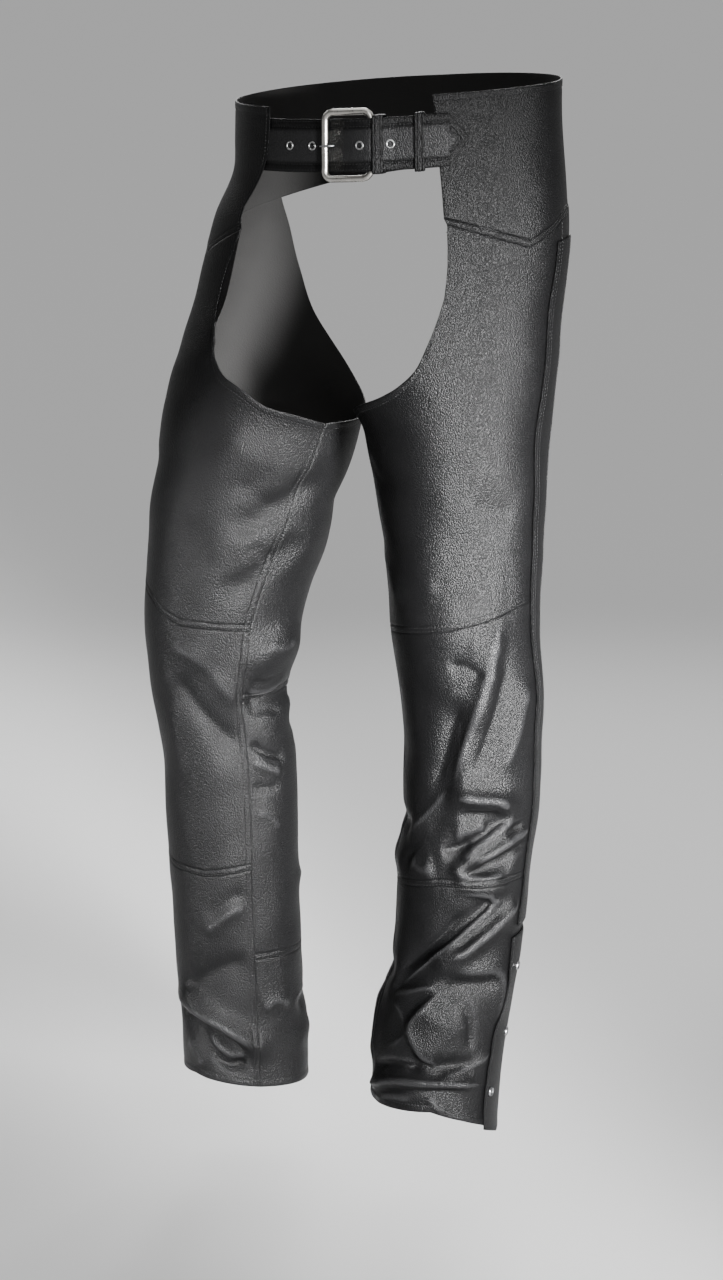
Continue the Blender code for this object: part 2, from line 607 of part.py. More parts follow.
def make_tongue(leather, collection, cutters):
    """The belt's tongue, sewn in behind the right yoke, with a pointed end that lies on the left yoke."""
    line, normal = strap_frame(TONGUE_PATH, TONGUE_CELLS)
    angle = line[:, 0] / BELT_DEGREE
    tip = angle.max()
    half = np.interp(angle, (TONGUE_SHOULDER, tip), (BELT_HALF, TIP_HALF))
    heights = half[:, None] * np.linspace(-1, 1, STRAP_COLUMNS + 1)
    tongue = strap("belt_tongue", line, normal, heights, TONGUE_THICKNESS, leather, collection)
    for k in range(HOLES):
        place, out = hole_place(k, line, normal)
        radius = USED_HOLE_RADIUS if k == USED_HOLE else HOLE_RADIUS
        mesh = bpy.data.meshes.new(f"cut_hole_{k + 1}")
        work = bmesh.new()
        depth = 4 * TONGUE_THICKNESS
        bmesh.ops.create_cone(
            work, cap_ends=True, segments=ROUND_STEPS, radius1=radius, radius2=radius, depth=depth
        )
        work.to_mesh(mesh)
        work.free()
        cutter = add_object(mesh.name, mesh, leather, cutters)
        cutter.matrix_world = facing(place, out)
        cutter.hide_render = True
        cutter.display_type = "WIRE"
        cut = tongue.modifiers.new(f"hole_{k + 1}", "BOOLEAN")
        cut.operation = "DIFFERENCE"
        cut.object = cutter


def hole_place(k, line, normal):
    """The middle of a belt hole on the tongue, and the way that the tongue faces there."""
    angle = FIRST_HOLE + k * HOLE_STEP
    out = np.interp(angle, line[:, 0] / BELT_DEGREE, line[:, 1])
    lean = np.stack([np.interp(angle, line[:, 0] / BELT_DEGREE, normal[:, i]) for i in range(2)])
    place = hip_chart(np.array(angle), np.array(0.0), np.array(out))
    ahead = hip_chart(
        np.array(angle + lean[0] * 0.01 / BELT_DEGREE), np.array(0.0), np.array(out + lean[1] * 0.01)
    )
    return Vector(place), Vector(ahead - place).normalized()


def facing(place, out):
    """A matrix that stands an object on a place with its own Z along out."""
    return Matrix.Translation(place) @ out.to_track_quat("Z", "Y").to_matrix().to_4x4()


def turned(name, profile, material, collection):
    """A ring or a cap turned round Z from its profile, which runs down its outer side."""
    mesh = bpy.data.meshes.new(name)
    edges = [(i, i + 1) for i in range(len(profile) - 1)]
    if profile[0][0] > 0:
        edges.append((len(profile) - 1, 0))
    mesh.from_pydata([(radius, 0.0, height) for radius, height in profile], edges, [])
    obj = add_object(name, mesh, material, collection)
    screw = obj.modifiers.new("turn", "SCREW")
    screw.steps = screw.render_steps = ROUND_STEPS
    screw.use_merge_vertices = True
    screw.merge_threshold = 0.00002
    return obj


def make_eyelets(metal, collection):
    """Metal eyelets in the belt holes, apart from the one that the prong is in."""
    line, normal = strap_frame(TONGUE_PATH, TONGUE_CELLS)
    face = TONGUE_THICKNESS / 2 + LAY_GAP
    rim, barrel = EYELET_RIM, HOLE_RADIUS - LAY_GAP
    bore = barrel - EYELET_WALL
    profile = (
        (bore, face + 0.7 * EYELET_WALL),
        (bore + 0.7 * EYELET_WALL, face + 1.5 * EYELET_WALL),
        (rim - 0.7 * EYELET_WALL, face + 1.2 * EYELET_WALL),
        (rim, face),
        (barrel, face),
        (barrel, -face),
        (bore, -face),
    )
    for k in range(HOLES):
        if k == USED_HOLE:
            continue
        eyelet = turned(f"eyelet_{k + 1}", profile, metal, collection)
        eyelet.matrix_world = facing(*hole_place(k, line, normal))


def make_chape(leather, collection):
    """The short strap sewn behind the left yoke. It folds round the buckle's bar, with a slot for the prong.

    It is two straps side by side, which stand for the two halves of the slotted one.
    """
    centre = np.array([BAR_RIGHT * BELT_DEGREE, BAR_RIGHT_OUT])
    radius = FRAME_ROD + LAY_GAP + CHAPE_THICKNESS / 2
    turn = np.linspace(-math.pi / 2, -3 * math.pi / 2, BEND_STEPS + 1)
    bend = centre + radius * np.stack([np.cos(turn), np.sin(turn)], axis=-1)
    under = np.array(CHAPE_UNDER) * (BELT_DEGREE, 1.0)
    over = np.array(CHAPE_OVER) * (BELT_DEGREE, 1.0)
    line = np.vstack([under, bend, over])
    tangent = np.gradient(line, axis=0)
    tangent /= np.linalg.norm(tangent, axis=1, keepdims=True)
    normal = np.stack([-tangent[:, 1], tangent[:, 0]], axis=-1)
    bends = slice(len(under) - 1, len(under) + len(bend) + 1)
    for part, sign in (("upper", 1), ("lower", -1)):
        low = np.full(len(line), CHAPE_SPLIT)
        low[bends] = PRONG_SLOT
        heights = sign * (low[:, None] + (CHAPE_HALF - low)[:, None] * np.linspace(0, 1, 3))
        strap(f"belt_chape_{part}", line, normal, heights, CHAPE_THICKNESS, leather, collection)


def make_keeper(name, at, leather, collection):
    """A loop of leather round both straps, beside the buckle or further on."""
    line, _ = strap_frame(TONGUE_PATH, TONGUE_CELLS)
    angles = at + np.linspace(-1, 1, 3) * KEEPER_WIDTH / 2 / BELT_DEGREE
    over = np.interp(angles, line[:, 0] / BELT_DEGREE, line[:, 1]) + TONGUE_THICKNESS / 2 + KEEPER_LIFT
    across, through = np.array(KEEPER_LOOP).T
    faces = []
    for grow in (KEEPER_THICKNESS, 0.0):
        low, high = KEEPER_UNDER - grow, over + grow
        out = low + (high[None, :] - low) * through[:, None]
        angle = np.repeat(angles[None, :], len(across), axis=0)
        height = np.repeat((across * (KEEPER_HALF + grow))[:, None], len(angles), axis=1)
        faces.append(hip_chart(angle, height, out))
    wall_between(name, faces[0], faces[1], leather, collection, ring=True)


def rod(name, points, radius, closed, material, collection):
    """A round rod along a line of points."""
    curve = bpy.data.curves.new(name, "CURVE")
    curve.dimensions = "3D"
    curve.bevel_depth = radius
    curve.bevel_resolution = 2
    curve.use_fill_caps = not closed
    line = curve.splines.new("POLY")
    line.points.add(len(points) - 1)
    for point, place in zip(line.points, points):
        point.co = (*place, 1.0)
    line.use_cyclic_u = closed
    return add_object(name, curve, material, collection)


def frame_ring(half_width):
    """The middle line of the buckle's frame: a quarter turn at each corner, and the side that follows it."""
    turn = np.linspace(0, math.pi / 2, CORNER_STEPS + 1)
    arcs = []
    for quarter, (x, z) in enumerate(((1, 1), (-1, 1), (-1, -1), (1, -1))):
        centre = np.array([x * (half_width - FRAME_CORNER), z * (FRAME_HALF_HEIGHT - FRAME_CORNER)])
        at = turn + quarter * math.pi / 2
        arcs.append(centre + FRAME_CORNER * np.stack([np.cos(at), np.sin(at)], axis=-1))
    ring = []
    for arc, following in zip(arcs, arcs[1:] + arcs[:1]):
        ring += [arc, np.linspace(arc[-1], following[0], SIDE_STEPS + 1)[1:-1]]
    return np.vstack(ring)


def make_buckle(metal, collection):
    """The buckle's frame, a bent rod with round corners, and its prong, hooked round the right bar."""
    middle = (BAR_LEFT + BAR_RIGHT) / 2
    half_width = (BAR_RIGHT - BAR_LEFT) / 2 * BELT_DEGREE
    ring = frame_ring(half_width)
    angle = middle + ring[:, 0] / BELT_DEGREE
    out = BAR_LEFT_OUT + (BAR_RIGHT_OUT - BAR_LEFT_OUT) * (ring[:, 0] + half_width) / (2 * half_width)
    rod("buckle_frame", hip_chart(angle, ring[:, 1], out), FRAME_ROD, True, metal, collection)

    hook = FRAME_ROD + LAY_GAP + PRONG_ROD
    turn = np.linspace(math.radians(HOOK_START), math.radians(HOOK_END), HOOK_STEPS + 1)
    hook_angle = BAR_RIGHT + hook * np.cos(turn) / BELT_DEGREE
    hook_out = BAR_RIGHT_OUT + hook * np.sin(turn)
    shank = smooth_path([(hook_angle[-1], hook_out[-1]), *PRONG_SHANK], SHANK_STEPS + 1)[1:]
    angle = np.concatenate([hook_angle, shank[:, 0]])
    out = np.concatenate([hook_out, shank[:, 1]])
    rod("buckle_prong", hip_chart(angle, np.zeros(len(angle)), out), PRONG_ROD, False, metal, collection)


def make_snaps(side, metal, collection):
    """The snaps' caps on the flap at the bottom of a leg."""
    chart = leg_chart(side)
    for k, (angle, height) in enumerate(SNAPS[side]):
        out = LEATHER + FLAP_LAY + SNAP_LAY
        place = chart(np.array(angle), np.array(height), np.array(out))
        ahead = chart(np.array(angle), np.array(height), np.array(out + 0.01))
        cap = turned(f"snap_{SIDE_NAMES[side]}_{k + 1}", SNAP_PROFILE, metal, collection)
        cap.matrix_world = facing(Vector(place), Vector(ahead - place).normalized())


def main():
    clear_scene()
    parts = bpy.data.collections.new("leather_chaps")
    cutters = bpy.data.collections.new("cutters")
    for collection in (parts, cutters):
        bpy.context.scene.collection.children.link(collection)
    leather = finish("black_leather", (0.012, 0.012, 0.013), 0.42, 0.0)
    metal = finish("brushed_silver", (0.55, 0.54, 0.52), 0.32, 1.0)
    snap_metal = finish("snap_metal", (0.16, 0.16, 0.17), 0.35, 1.0)
    for side in (LEFT, RIGHT):
        make_leg(side, leather, parts)
        make_flaps(side, leather, parts)
        make_yoke(side, leather, parts)
        make_snaps(side, snap_metal, parts)
    make_tongue(leather, parts, cutters)
    make_eyelets(metal, parts)
    make_chape(leather, parts)
    make_keeper("keeper_by_buckle", FIRST_KEEPER, leather, parts)
    make_keeper("keeper_on_tip", SECOND_KEEPER, leather, parts)
    make_buckle(metal, parts)


main()
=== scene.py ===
import math

import bpy
import numpy as np
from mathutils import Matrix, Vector


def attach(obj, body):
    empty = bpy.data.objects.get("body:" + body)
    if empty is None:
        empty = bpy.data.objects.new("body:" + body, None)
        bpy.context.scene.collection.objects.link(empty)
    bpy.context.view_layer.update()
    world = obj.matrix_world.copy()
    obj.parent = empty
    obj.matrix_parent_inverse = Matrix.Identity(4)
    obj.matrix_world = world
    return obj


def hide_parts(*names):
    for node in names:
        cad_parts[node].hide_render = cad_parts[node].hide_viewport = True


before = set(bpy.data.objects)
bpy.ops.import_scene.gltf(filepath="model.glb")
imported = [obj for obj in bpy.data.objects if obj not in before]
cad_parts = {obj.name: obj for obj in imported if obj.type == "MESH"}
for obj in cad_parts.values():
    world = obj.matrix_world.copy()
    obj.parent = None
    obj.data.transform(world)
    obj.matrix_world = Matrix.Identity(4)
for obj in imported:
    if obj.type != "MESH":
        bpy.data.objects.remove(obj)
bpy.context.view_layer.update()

# The legs. Each is a tube of black cowhide, 1.8 mm thick, that hangs from the hip yoke and keeps the wearer's
# pose. Everything on a leg is placed by an angle round it (0 in front, positive to its outer side) and a height.

LEFT, RIGHT = 1, -1
SIDES = {LEFT: "left", RIGHT: "right"}
LEATHER = 0.0018
SEAM_LAP = 0.0002
RISE_TO_BACK = 0.090
RISE_TO_LEFT = 0.055
HIP_LINE = -0.150
CROTCH_LINE = -0.310
INSEAM, OUTSEAM, FULL_TURN = -80.0, 85.0, 360.0
HIP_SIDE, HIP_SPREAD = 90.0, 0.75
THIGH_DEGREE = 0.0016
CALF_DEGREE = 0.0013

HIPS = np.array([
    # height, centre_x, centre_y, half_width, depth_front, depth_back
    (0.060, 0.000, 0.000, 0.1735, 0.1195, 0.118),
    (0.030, 0.000, 0.000, 0.1738, 0.1198, 0.119),
    (0.000, 0.000, 0.000, 0.1745, 0.1200, 0.120),
    (-0.030, 0.000, 0.000, 0.1760, 0.1205, 0.122),
    (-0.080, -0.009, 0.000, 0.189, 0.123, 0.130),
    (-0.120, -0.014, 0.000, 0.196, 0.126, 0.136),
    (-0.180, -0.023, -0.002, 0.200, 0.130, 0.140),
    (-0.240, -0.031, -0.004, 0.203, 0.134, 0.138),
    (-0.310, -0.038, -0.006, 0.204, 0.136, 0.132),
])

LEGS = {
    # height, centre_x, centre_y, half_width, half_depth, turn_out
    LEFT: np.array([
        (-0.230, 0.074, -0.006, 0.100, 0.108, 8.0),
        (-0.295, 0.072, -0.012, 0.095, 0.104, 8.0),
        (-0.369, 0.080, -0.018, 0.086, 0.095, 9.0),
        (-0.430, 0.086, -0.025, 0.080, 0.088, 10.0),
        (-0.505, 0.091, -0.033, 0.076, 0.083, 12.0),
        (-0.562, 0.099, -0.036, 0.073, 0.078, 14.0),
        (-0.620, 0.102, -0.038, 0.070, 0.076, 15.0),
        (-0.690, 0.102, -0.041, 0.070, 0.076, 16.0),
        (-0.760, 0.096, -0.045, 0.068, 0.074, 16.0),
        (-0.849, 0.089, -0.047, 0.066, 0.072, 16.0),
        (-0.920, 0.077, -0.051, 0.067, 0.075, 16.0),
        (-1.000, 0.068, -0.053, 0.067, 0.080, 16.0),
        (-1.060, 0.066, -0.054, 0.068, 0.084, 16.0),
    ]),
    RIGHT: np.array([
        (-0.230, -0.136, -0.014, 0.104, 0.110, 14.0),
        (-0.328, -0.148, -0.023, 0.102, 0.108, 18.0),
        (-0.392, -0.161, -0.031, 0.097, 0.100, 24.0),
        (-0.438, -0.167, -0.035, 0.092, 0.095, 28.0),
        (-0.478, -0.176, -0.039, 0.086, 0.089, 31.0),
        (-0.530, -0.183, -0.042, 0.080, 0.083, 34.0),
        (-0.600, -0.184, -0.042, 0.073, 0.074, 36.0),
        (-0.663, -0.179, -0.036, 0.070, 0.071, 37.0),
        (-0.730, -0.178, -0.031, 0.069, 0.071, 37.0),
        (-0.801, -0.179, -0.025, 0.069, 0.070, 38.0),
        (-0.880, -0.179, -0.017, 0.069, 0.069, 39.0),
        (-0.960, -0.179, -0.005, 0.069, 0.068, 41.0),
        (-1.060, -0.180, 0.006, 0.070, 0.068, 43.0),
    ]),
}

FOLDS = (
    # side, angle_a, height_a, angle_b, height_b, width, depth
    (LEFT, 28, -0.546, -1, -0.658, 0.013, 0.0045),
    (LEFT, 2, -0.600, -22, -0.690, 0.020, -0.0045),
    (LEFT, -6, -0.668, 40, -0.678, 0.011, 0.0050),
    (LEFT, 34, -0.696, 0, -0.722, 0.012, -0.0070),
    (LEFT, 39, -0.712, 2, -0.740, 0.009, 0.0050),
    (LEFT, 44, -0.738, 12, -0.748, 0.008, -0.0040),
    (LEFT, 8, -0.756, 41, -0.764, 0.009, 0.0045),
    (LEFT, 32, -0.782, -46, -0.876, 0.012, -0.0060),
    (LEFT, 54, -0.790, -3, -0.842, 0.013, 0.0060),
    (LEFT, 10, -0.866, 44, -0.866, 0.010, -0.0050),
    (LEFT, 5, -0.906, 12, -0.906, 0.026, 0.0070),
    (LEFT, -12, -0.950, 34, -0.956, 0.010, -0.0060),
    (LEFT, -60, -0.984, 34, -0.974, 0.010, 0.0040),
    (LEFT, 34, -0.378, 3, -0.448, 0.026, -0.0030),
    (LEFT, -88, -0.905, -86, -0.955, 0.016, 0.0055),
    (LEFT, -92, -0.860, -70, -0.866, 0.012, -0.0045),
    (LEFT, -92, -0.698, -60, -0.706, 0.011, -0.0050),
    (LEFT, -92, -0.742, -62, -0.746, 0.014, 0.0045),
    (LEFT, 150, -0.560, 210, -0.590, 0.013, -0.0050),
    (LEFT, 140, -0.640, 200, -0.610, 0.014, -0.0045),
    (LEFT, 150, -0.740, 230, -0.790, 0.014, -0.0050),
    (LEFT, 160, -0.930, 230, -0.950, 0.013, -0.0060),
    (LEFT, 150, -0.960, 220, -0.985, 0.012, 0.0050),
    (LEFT, 170, -0.330, 225, -0.380, 0.018, -0.0045),
    (RIGHT, 150, -0.570, 200, -0.596, 0.013, -0.0050),
    (RIGHT, 140, -0.650, 205, -0.625, 0.014, -0.0045),
    (RIGHT, 150, -0.920, 220, -0.945, 0.013, -0.0055),
    (RIGHT, 150, -0.965, 230, -0.985, 0.012, 0.0030),
    (RIGHT, 170, -0.340, 225, -0.390, 0.018, -0.0045),
    (RIGHT, -80, -0.368, -58, -0.398, 0.016, -0.0050),
    (RIGHT, -88, -0.432, -64, -0.466, 0.015, -0.0045),
    (RIGHT, 232, -0.545, 268, -0.545, 0.022, 0.0075),
    (RIGHT, 222, -0.594, 268, -0.594, 0.013, -0.0085),
    (RIGHT, -54, -0.570, -72, -0.646, 0.022, -0.0030),
    (RIGHT, -12, -0.932, -79, -0.986, 0.013, 0.0060),
    (RIGHT, 0, -0.956, -60, -1.004, 0.012, -0.0060),
)

CREASES = (
    # side, rise (a trough is negative), reach to its left and to its right in mm, places along it
    # the left thigh and knee
    (LEFT, -2.4, 9, 11, ((22, -0.366), (36, -0.374), (54, -0.383))),
    (LEFT, -1.8, 9, 9, ((-13, -0.448), (4, -0.451), (25, -0.446))),
    (LEFT, -1.6, 14, 14, ((40, -0.410), (50, -0.450), (44, -0.482))),
    (LEFT, -2.0, 12, 12, ((-74, -0.330), (-52, -0.352), (-30, -0.360))),
    (LEFT, 1.8, 12, 12, ((-76, -0.420), (-56, -0.446), (-44, -0.480))),
    (LEFT, 2.0, 16, 16, ((12, -0.505), (30, -0.512), (44, -0.520))),
    (LEFT, -3.0, 6, 9, ((-6, -0.530), (11, -0.532), (23, -0.546))),
    # the long fold down the left calf, dark to its left, and the lit facet to its right
    (LEFT, 7.0, 8, 13, ((44, -0.470), (34, -0.508), (22, -0.552), (9, -0.596), (-2, -0.636), (-9, -0.664))),
    (LEFT, -5.0, 8, 18, ((4, -0.560), (-8, -0.594), (-18, -0.632), (-30, -0.668))),
    (LEFT, -5.0, 9, 8, ((44, -0.520), (32, -0.572), (17, -0.620), (5, -0.657))),
    (LEFT, 4.6, 12, 14, ((62, -0.545), (50, -0.600), (32, -0.650))),
    # the shelf at its foot and the S that runs on from it
    (LEFT, 5.5, 11, 4, ((-6, -0.665), (14, -0.669), (29, -0.672), (42, -0.682))),
    (LEFT, -5.0, 4, 10, ((-4, -0.684), (16, -0.684), (35, -0.688))),
    (LEFT, 4.6, 5, 6, ((43, -0.684), (43, -0.696), (30, -0.708), (16, -0.721), (2, -0.734))),
    (LEFT, 2.4, 8, 8, ((-8, -0.708), (8, -0.702), (24, -0.696))),
    (LEFT, -3.0, 5, 6, ((-16, -0.724), (-2, -0.720), (12, -0.713))),
    (LEFT, -4.2, 4, 4, ((10, -0.734), (28, -0.718), (46, -0.705), (64, -0.699))),
    (LEFT, 4.0, 5, 5, ((14, -0.738), (28, -0.727), (48, -0.715), (74, -0.710))),
    (LEFT, -4.4, 5, 6, ((13, -0.746), (32, -0.736), (56, -0.727), (76, -0.722))),
    (LEFT, 3.6, 5, 6, ((0, -0.734), (2, -0.744), (12, -0.751), (26, -0.754), (46, -0.750))),
    (LEFT, 3.0, 10, 7, ((-10, -0.655), (-34, -0.690), (-60, -0.722))),
    (LEFT, 3.6, 14, 12, ((-48, -0.738), (-32, -0.746), (-18, -0.742))),
    # the folds from the shin seam down to the ankle
    (LEFT, 6.8, 9, 5, ((-2, -0.768), (24, -0.768), (38, -0.775), (35, -0.788), (21, -0.802), (-2, -0.828), (-29, -0.855), (-54, -0.884))),
    (LEFT, -6.0, 4, 18, ((18, -0.780), (2, -0.804), (-24, -0.836), (-54, -0.866))),
    (LEFT, -4.4, 4, 4, ((48, -0.784), (30, -0.802), (2, -0.832))),
    (LEFT, 4.4, 8, 4, ((70, -0.784), (50, -0.794), (30, -0.812), (10, -0.832), (-4, -0.842))),
    (LEFT, 5.4, 15, 11, ((-5, -0.843), (6, -0.848), (25, -0.851), (45, -0.854), (56, -0.866), (60, -0.892), (58, -0.930))),
    # the round swelling over the ankle, and what gathers round it
    (LEFT, -4.0, 5, 9, ((-2, -0.867), (16, -0.880), (29, -0.905), (34, -0.930), (38, -0.946))),
    (LEFT, 8.5, 26, 5, ((-2, -0.872), (-13, -0.892), (-21, -0.910), (-19, -0.922), (-10, -0.938), (3, -0.951), (9, -0.964))),
    (LEFT, 3.0, 4, 6, ((-56, -0.890), (-38, -0.882), (-20, -0.873), (-2, -0.868))),
    (LEFT, 2.2, 8, 5, ((-54, -0.891), (-38, -0.900), (-29, -0.912), (-28, -0.926), (-48, -0.944))),
    (LEFT, 3.4, 8, 5, ((6, -0.967), (24, -0.964), (44, -0.956), (64, -0.947))),
    (LEFT, -4.4, 4, 7, ((-68, -0.969), (-40, -0.958), (-18, -0.956), (-2, -0.962))),
    (LEFT, 5.0, 5, 3, ((-82, -0.996), (-50, -0.982), (-26, -0.973), (10, -0.972), (36, -0.976), (58, -0.984))),
    (LEFT, -4.4, 3, 6, ((-74, -1.002), (-50, -0.990), (-26, -0.981), (10, -0.979), (44, -0.984))),
    (LEFT, 2.2, 5, 5, ((-60, -1.003), (-36, -0.992), (-10, -0.990))),
    (LEFT, 2.6, 4, 4, ((2, -0.984), (8, -0.994), (18, -1.002))),
    # behind the left leg
    (LEFT, -3.4, 6, 9, ((128, -0.548), (160, -0.570), (204, -0.574), (240, -0.560))),
    (LEFT, 3.2, 5, 9, ((120, -0.600), (150, -0.612), (196, -0.606), (236, -0.616))),
    (LEFT, -3.2, 7, 7, ((136, -0.640), (170, -0.634), (214, -0.648), (250, -0.640))),
    (LEFT, 2.6, 9, 7, ((112, -0.676), (140, -0.690), (178, -0.684))),
    (LEFT, -3.0, 9, 9, ((128, -0.712), (164, -0.734), (206, -0.738))),
    (LEFT, 3.0, 7, 10, ((146, -0.782), (184, -0.800), (236, -0.790))),
    (LEFT, -3.4, 7, 8, ((122, -0.842), (160, -0.858), (214, -0.850), (252, -0.864))),
    (LEFT, 3.6, 6, 8, ((130, -0.922), (170, -0.934), (220, -0.926), (256, -0.938))),
    (LEFT, -3.8, 5, 8, ((124, -0.950), (166, -0.966), (216, -0.958))),
    (LEFT, -2.4, 12, 12, ((150, -0.300), (190, -0.330), (236, -0.338))),
    (LEFT, -2.4, 13, 13, ((120, -0.380), (150, -0.400), (172, -0.440))),
    # the right thigh and the back of its knee
    (RIGHT, -2.2, 12, 12, ((-36, -0.350), (-58, -0.376), (-80, -0.394))),
    (RIGHT, -2.0, 10, 10, ((-58, -0.422), (-82, -0.444))),
    (RIGHT, 1.6, 13, 13, ((-20, -0.300), (-44, -0.330), (-72, -0.346))),
    (RIGHT, -2.0, 14, 14, ((-6, -0.396), (-26, -0.420), (-40, -0.460))),
    (RIGHT, -2.6, 5, 6, ((279, -0.572), (258, -0.577), (236, -0.570))),
    (RIGHT, 2.4, 5, 5, ((279, -0.583), (256, -0.588), (234, -0.582))),
    (RIGHT, -2.6, 6, 5, ((279, -0.610), (258, -0.607), (234, -0.615))),
    (RIGHT, 2.2, 10, 10, ((270, -0.532), (250, -0.540), (236, -0.532))),
    # its shin, with a broad crest and a dark hollow beside the inseam, and the calf behind
    (RIGHT, 3.0, 18, 18, ((-10, -0.540), (-22, -0.590), (-18, -0.646), (-27, -0.706))),
    (RIGHT, -6.2, 18, 14, ((-20, -0.562), (-44, -0.604), (-66, -0.636), (-80, -0.650))),
    (RIGHT, 3.0, 12, 13, ((-10, -0.528), (-44, -0.548), (-66, -0.582), (-80, -0.604))),
    (RIGHT, -4.4, 4, 7, ((279, -0.640), (262, -0.654), (238, -0.665))),
    (RIGHT, 2.6, 7, 7, ((278, -0.658), (260, -0.671), (244, -0.678))),
    (RIGHT, -2.4, 5, 5, ((279, -0.689), (262, -0.693), (248, -0.690))),
    (RIGHT, 1.8, 8, 8, ((279, -0.716), (262, -0.724), (250, -0.744))),
    # its ankle: a lit facet between a hollow and a sharp fold, and the hooks below
    (RIGHT, -5.0, 14, 14, ((2, -0.932), (-14, -0.920), (-43, -0.898), (-78, -0.879))),
    (RIGHT, 6.6, 5, 13, ((24, -0.934), (2, -0.938), (-22, -0.946), (-44, -0.957), (-62, -0.972), (-78, -0.988))),
    (RIGHT, -6.4, 10, 4, ((14, -0.950), (-20, -0.961), (-44, -0.970), (-64, -0.988), (-76, -1.002))),
    (RIGHT, 4.2, 5, 5, ((-28, -0.972), (-42, -0.989), (-56, -0.996), (-72, -0.988))),
    (RIGHT, -4.0, 6, 6, ((-34, -0.998), (-52, -1.007), (-70, -1.002))),
    (RIGHT, 3.0, 8, 8, ((-4, -0.984), (-18, -1.000), (-26, -1.016))),
    (RIGHT, 2.6, 9, 9, ((-32, -0.856), (-55, -0.833), (-78, -0.818))),
    (RIGHT, -2.2, 9, 9, ((-36, -0.838), (-56, -0.816), (-76, -0.804))),
    (RIGHT, 3.6, 8, 10, ((-82, -0.942), (-100, -0.934), (-116, -0.944))),
    # round the outside and behind
    (RIGHT, -2.8, 9, 9, ((30, -0.604), (48, -0.622), (66, -0.618))),
    (RIGHT, -3.2, 6, 9, ((128, -0.552), (160, -0.566), (200, -0.572), (226, -0.566))),
    (RIGHT, 3.0, 5, 9, ((124, -0.606), (156, -0.618), (200, -0.610), (230, -0.622))),
    (RIGHT, -3.2, 7, 7, ((132, -0.644), (174, -0.640), (216, -0.654))),
    (RIGHT, -3.0, 9, 9, ((124, -0.720), (158, -0.742), (204, -0.734))),
    (RIGHT, 2.8, 7, 10, ((140, -0.790), (186, -0.806), (230, -0.796))),
    (RIGHT, -3.2, 7, 8, ((118, -0.856), (156, -0.868), (210, -0.860))),
    (RIGHT, 3.4, 6, 8, ((128, -0.930), (168, -0.942), (216, -0.934), (250, -0.946))),
    (RIGHT, -3.6, 5, 8, ((122, -0.960), (164, -0.974), (212, -0.968))),
    (RIGHT, -2.6, 12, 12, ((140, -0.310), (184, -0.344), (230, -0.352))),
    (RIGHT, -2.4, 13, 13, ((36, -0.330), (52, -0.372), (60, -0.400))),
)


def column(table, name, heights):
    """One column of a table of sections, read at any height by a cubic through its rows with central slopes."""
    rows, values = table[::-1, 0], table[::-1, name]
    slopes = np.gradient(values, rows)
    i = np.clip(np.searchsorted(rows, heights) - 1, 0, len(rows) - 2)
    step = rows[i + 1] - rows[i]
    t = np.clip((heights - rows[i]) / step, 0.0, 1.0)
    return (
        values[i] * (2 * t**3 - 3 * t**2 + 1)
        + slopes[i] * step * (t**3 - 2 * t**2 + t)
        + values[i + 1] * (3 * t**2 - 2 * t**3)
        + slopes[i + 1] * step * (t**3 - t**2)
    )


def hip_ring(angle, height):
    """A point on the hips: an ellipse at each height, with its own depth in front and behind, tilted with the waist."""
    angle, height = np.broadcast_arrays(np.asarray(angle, float), np.asarray(height, float))
    turn = np.radians(angle)
    depth = np.where(np.cos(turn) > 0, column(HIPS, 4, height), column(HIPS, 5, height))
    x, y = column(HIPS, 3, height) * np.sin(turn), -depth * np.cos(turn)
    z = height + RISE_TO_BACK * y + RISE_TO_LEFT * x
    return np.stack([column(HIPS, 1, height) + x, column(HIPS, 2, height) + y, z], axis=-1)


def fold_relief(side, angle, height):
    """The big folds: each adds depth times a bell curve of the distance from its line on the chart."""
    relief = np.zeros(angle.shape)
    for of_side, angle_a, height_a, angle_b, height_b, width, depth in FOLDS:
        if of_side != side:
            continue
        across = ((angle - angle_a + FULL_TURN / 2) % FULL_TURN - FULL_TURN / 2) * CALF_DEGREE
        down = height - height_a
        along, drop = (angle_b - angle_a) * CALF_DEGREE, height_b - height_a
        share = np.clip((across * along + down * drop) / (along**2 + drop**2), 0.0, 1.0)
        relief += depth * np.exp(-(np.hypot(across - share * along, down - share * drop) / width) ** 2)
    return relief


def leg_ring(side, angle, height):
    """A point on a leg: an ellipse with the folds added to its radii, turned out, and blended above the crotch
    into the hips by a smooth step of the height."""
    angle, height = np.broadcast_arrays(np.asarray(angle, float), np.asarray(height, float))
    table = LEGS[side]
    around, turn = np.radians(angle), np.radians(column(table, 5, height))
    relief = fold_relief(side, angle, height)
    x = (column(table, 3, height) + relief) * np.sin(around)
    y = -(column(table, 4, height) + relief) * np.cos(around)
    ring_x = column(table, 1, height) + side * (x * np.cos(turn) - y * np.sin(turn))
    ring_y = column(table, 2, height) + x * np.sin(turn) + y * np.cos(turn)
    hips = hip_ring(side * (HIP_SIDE + (angle - OUTSEAM) * HIP_SPREAD), height)
    t = np.clip((height - CROTCH_LINE) / (HIP_LINE - CROTCH_LINE), 0.0, 1.0)
    share = (t * t * (3 - 2 * t))[..., None]
    return np.stack([ring_x, ring_y, height], axis=-1) * (1 - share) + hips * share


def with_normals(chart, angle, height):
    """The chart's points, and the cross product of its two small steps as the way out."""
    along = chart(angle + 0.5, height) - chart(angle - 0.5, height)
    up = chart(angle, height + 0.001) - chart(angle, height - 0.001)
    normal = np.cross(along, up)
    return chart(angle, height), normal / np.linalg.norm(normal, axis=-1, keepdims=True)


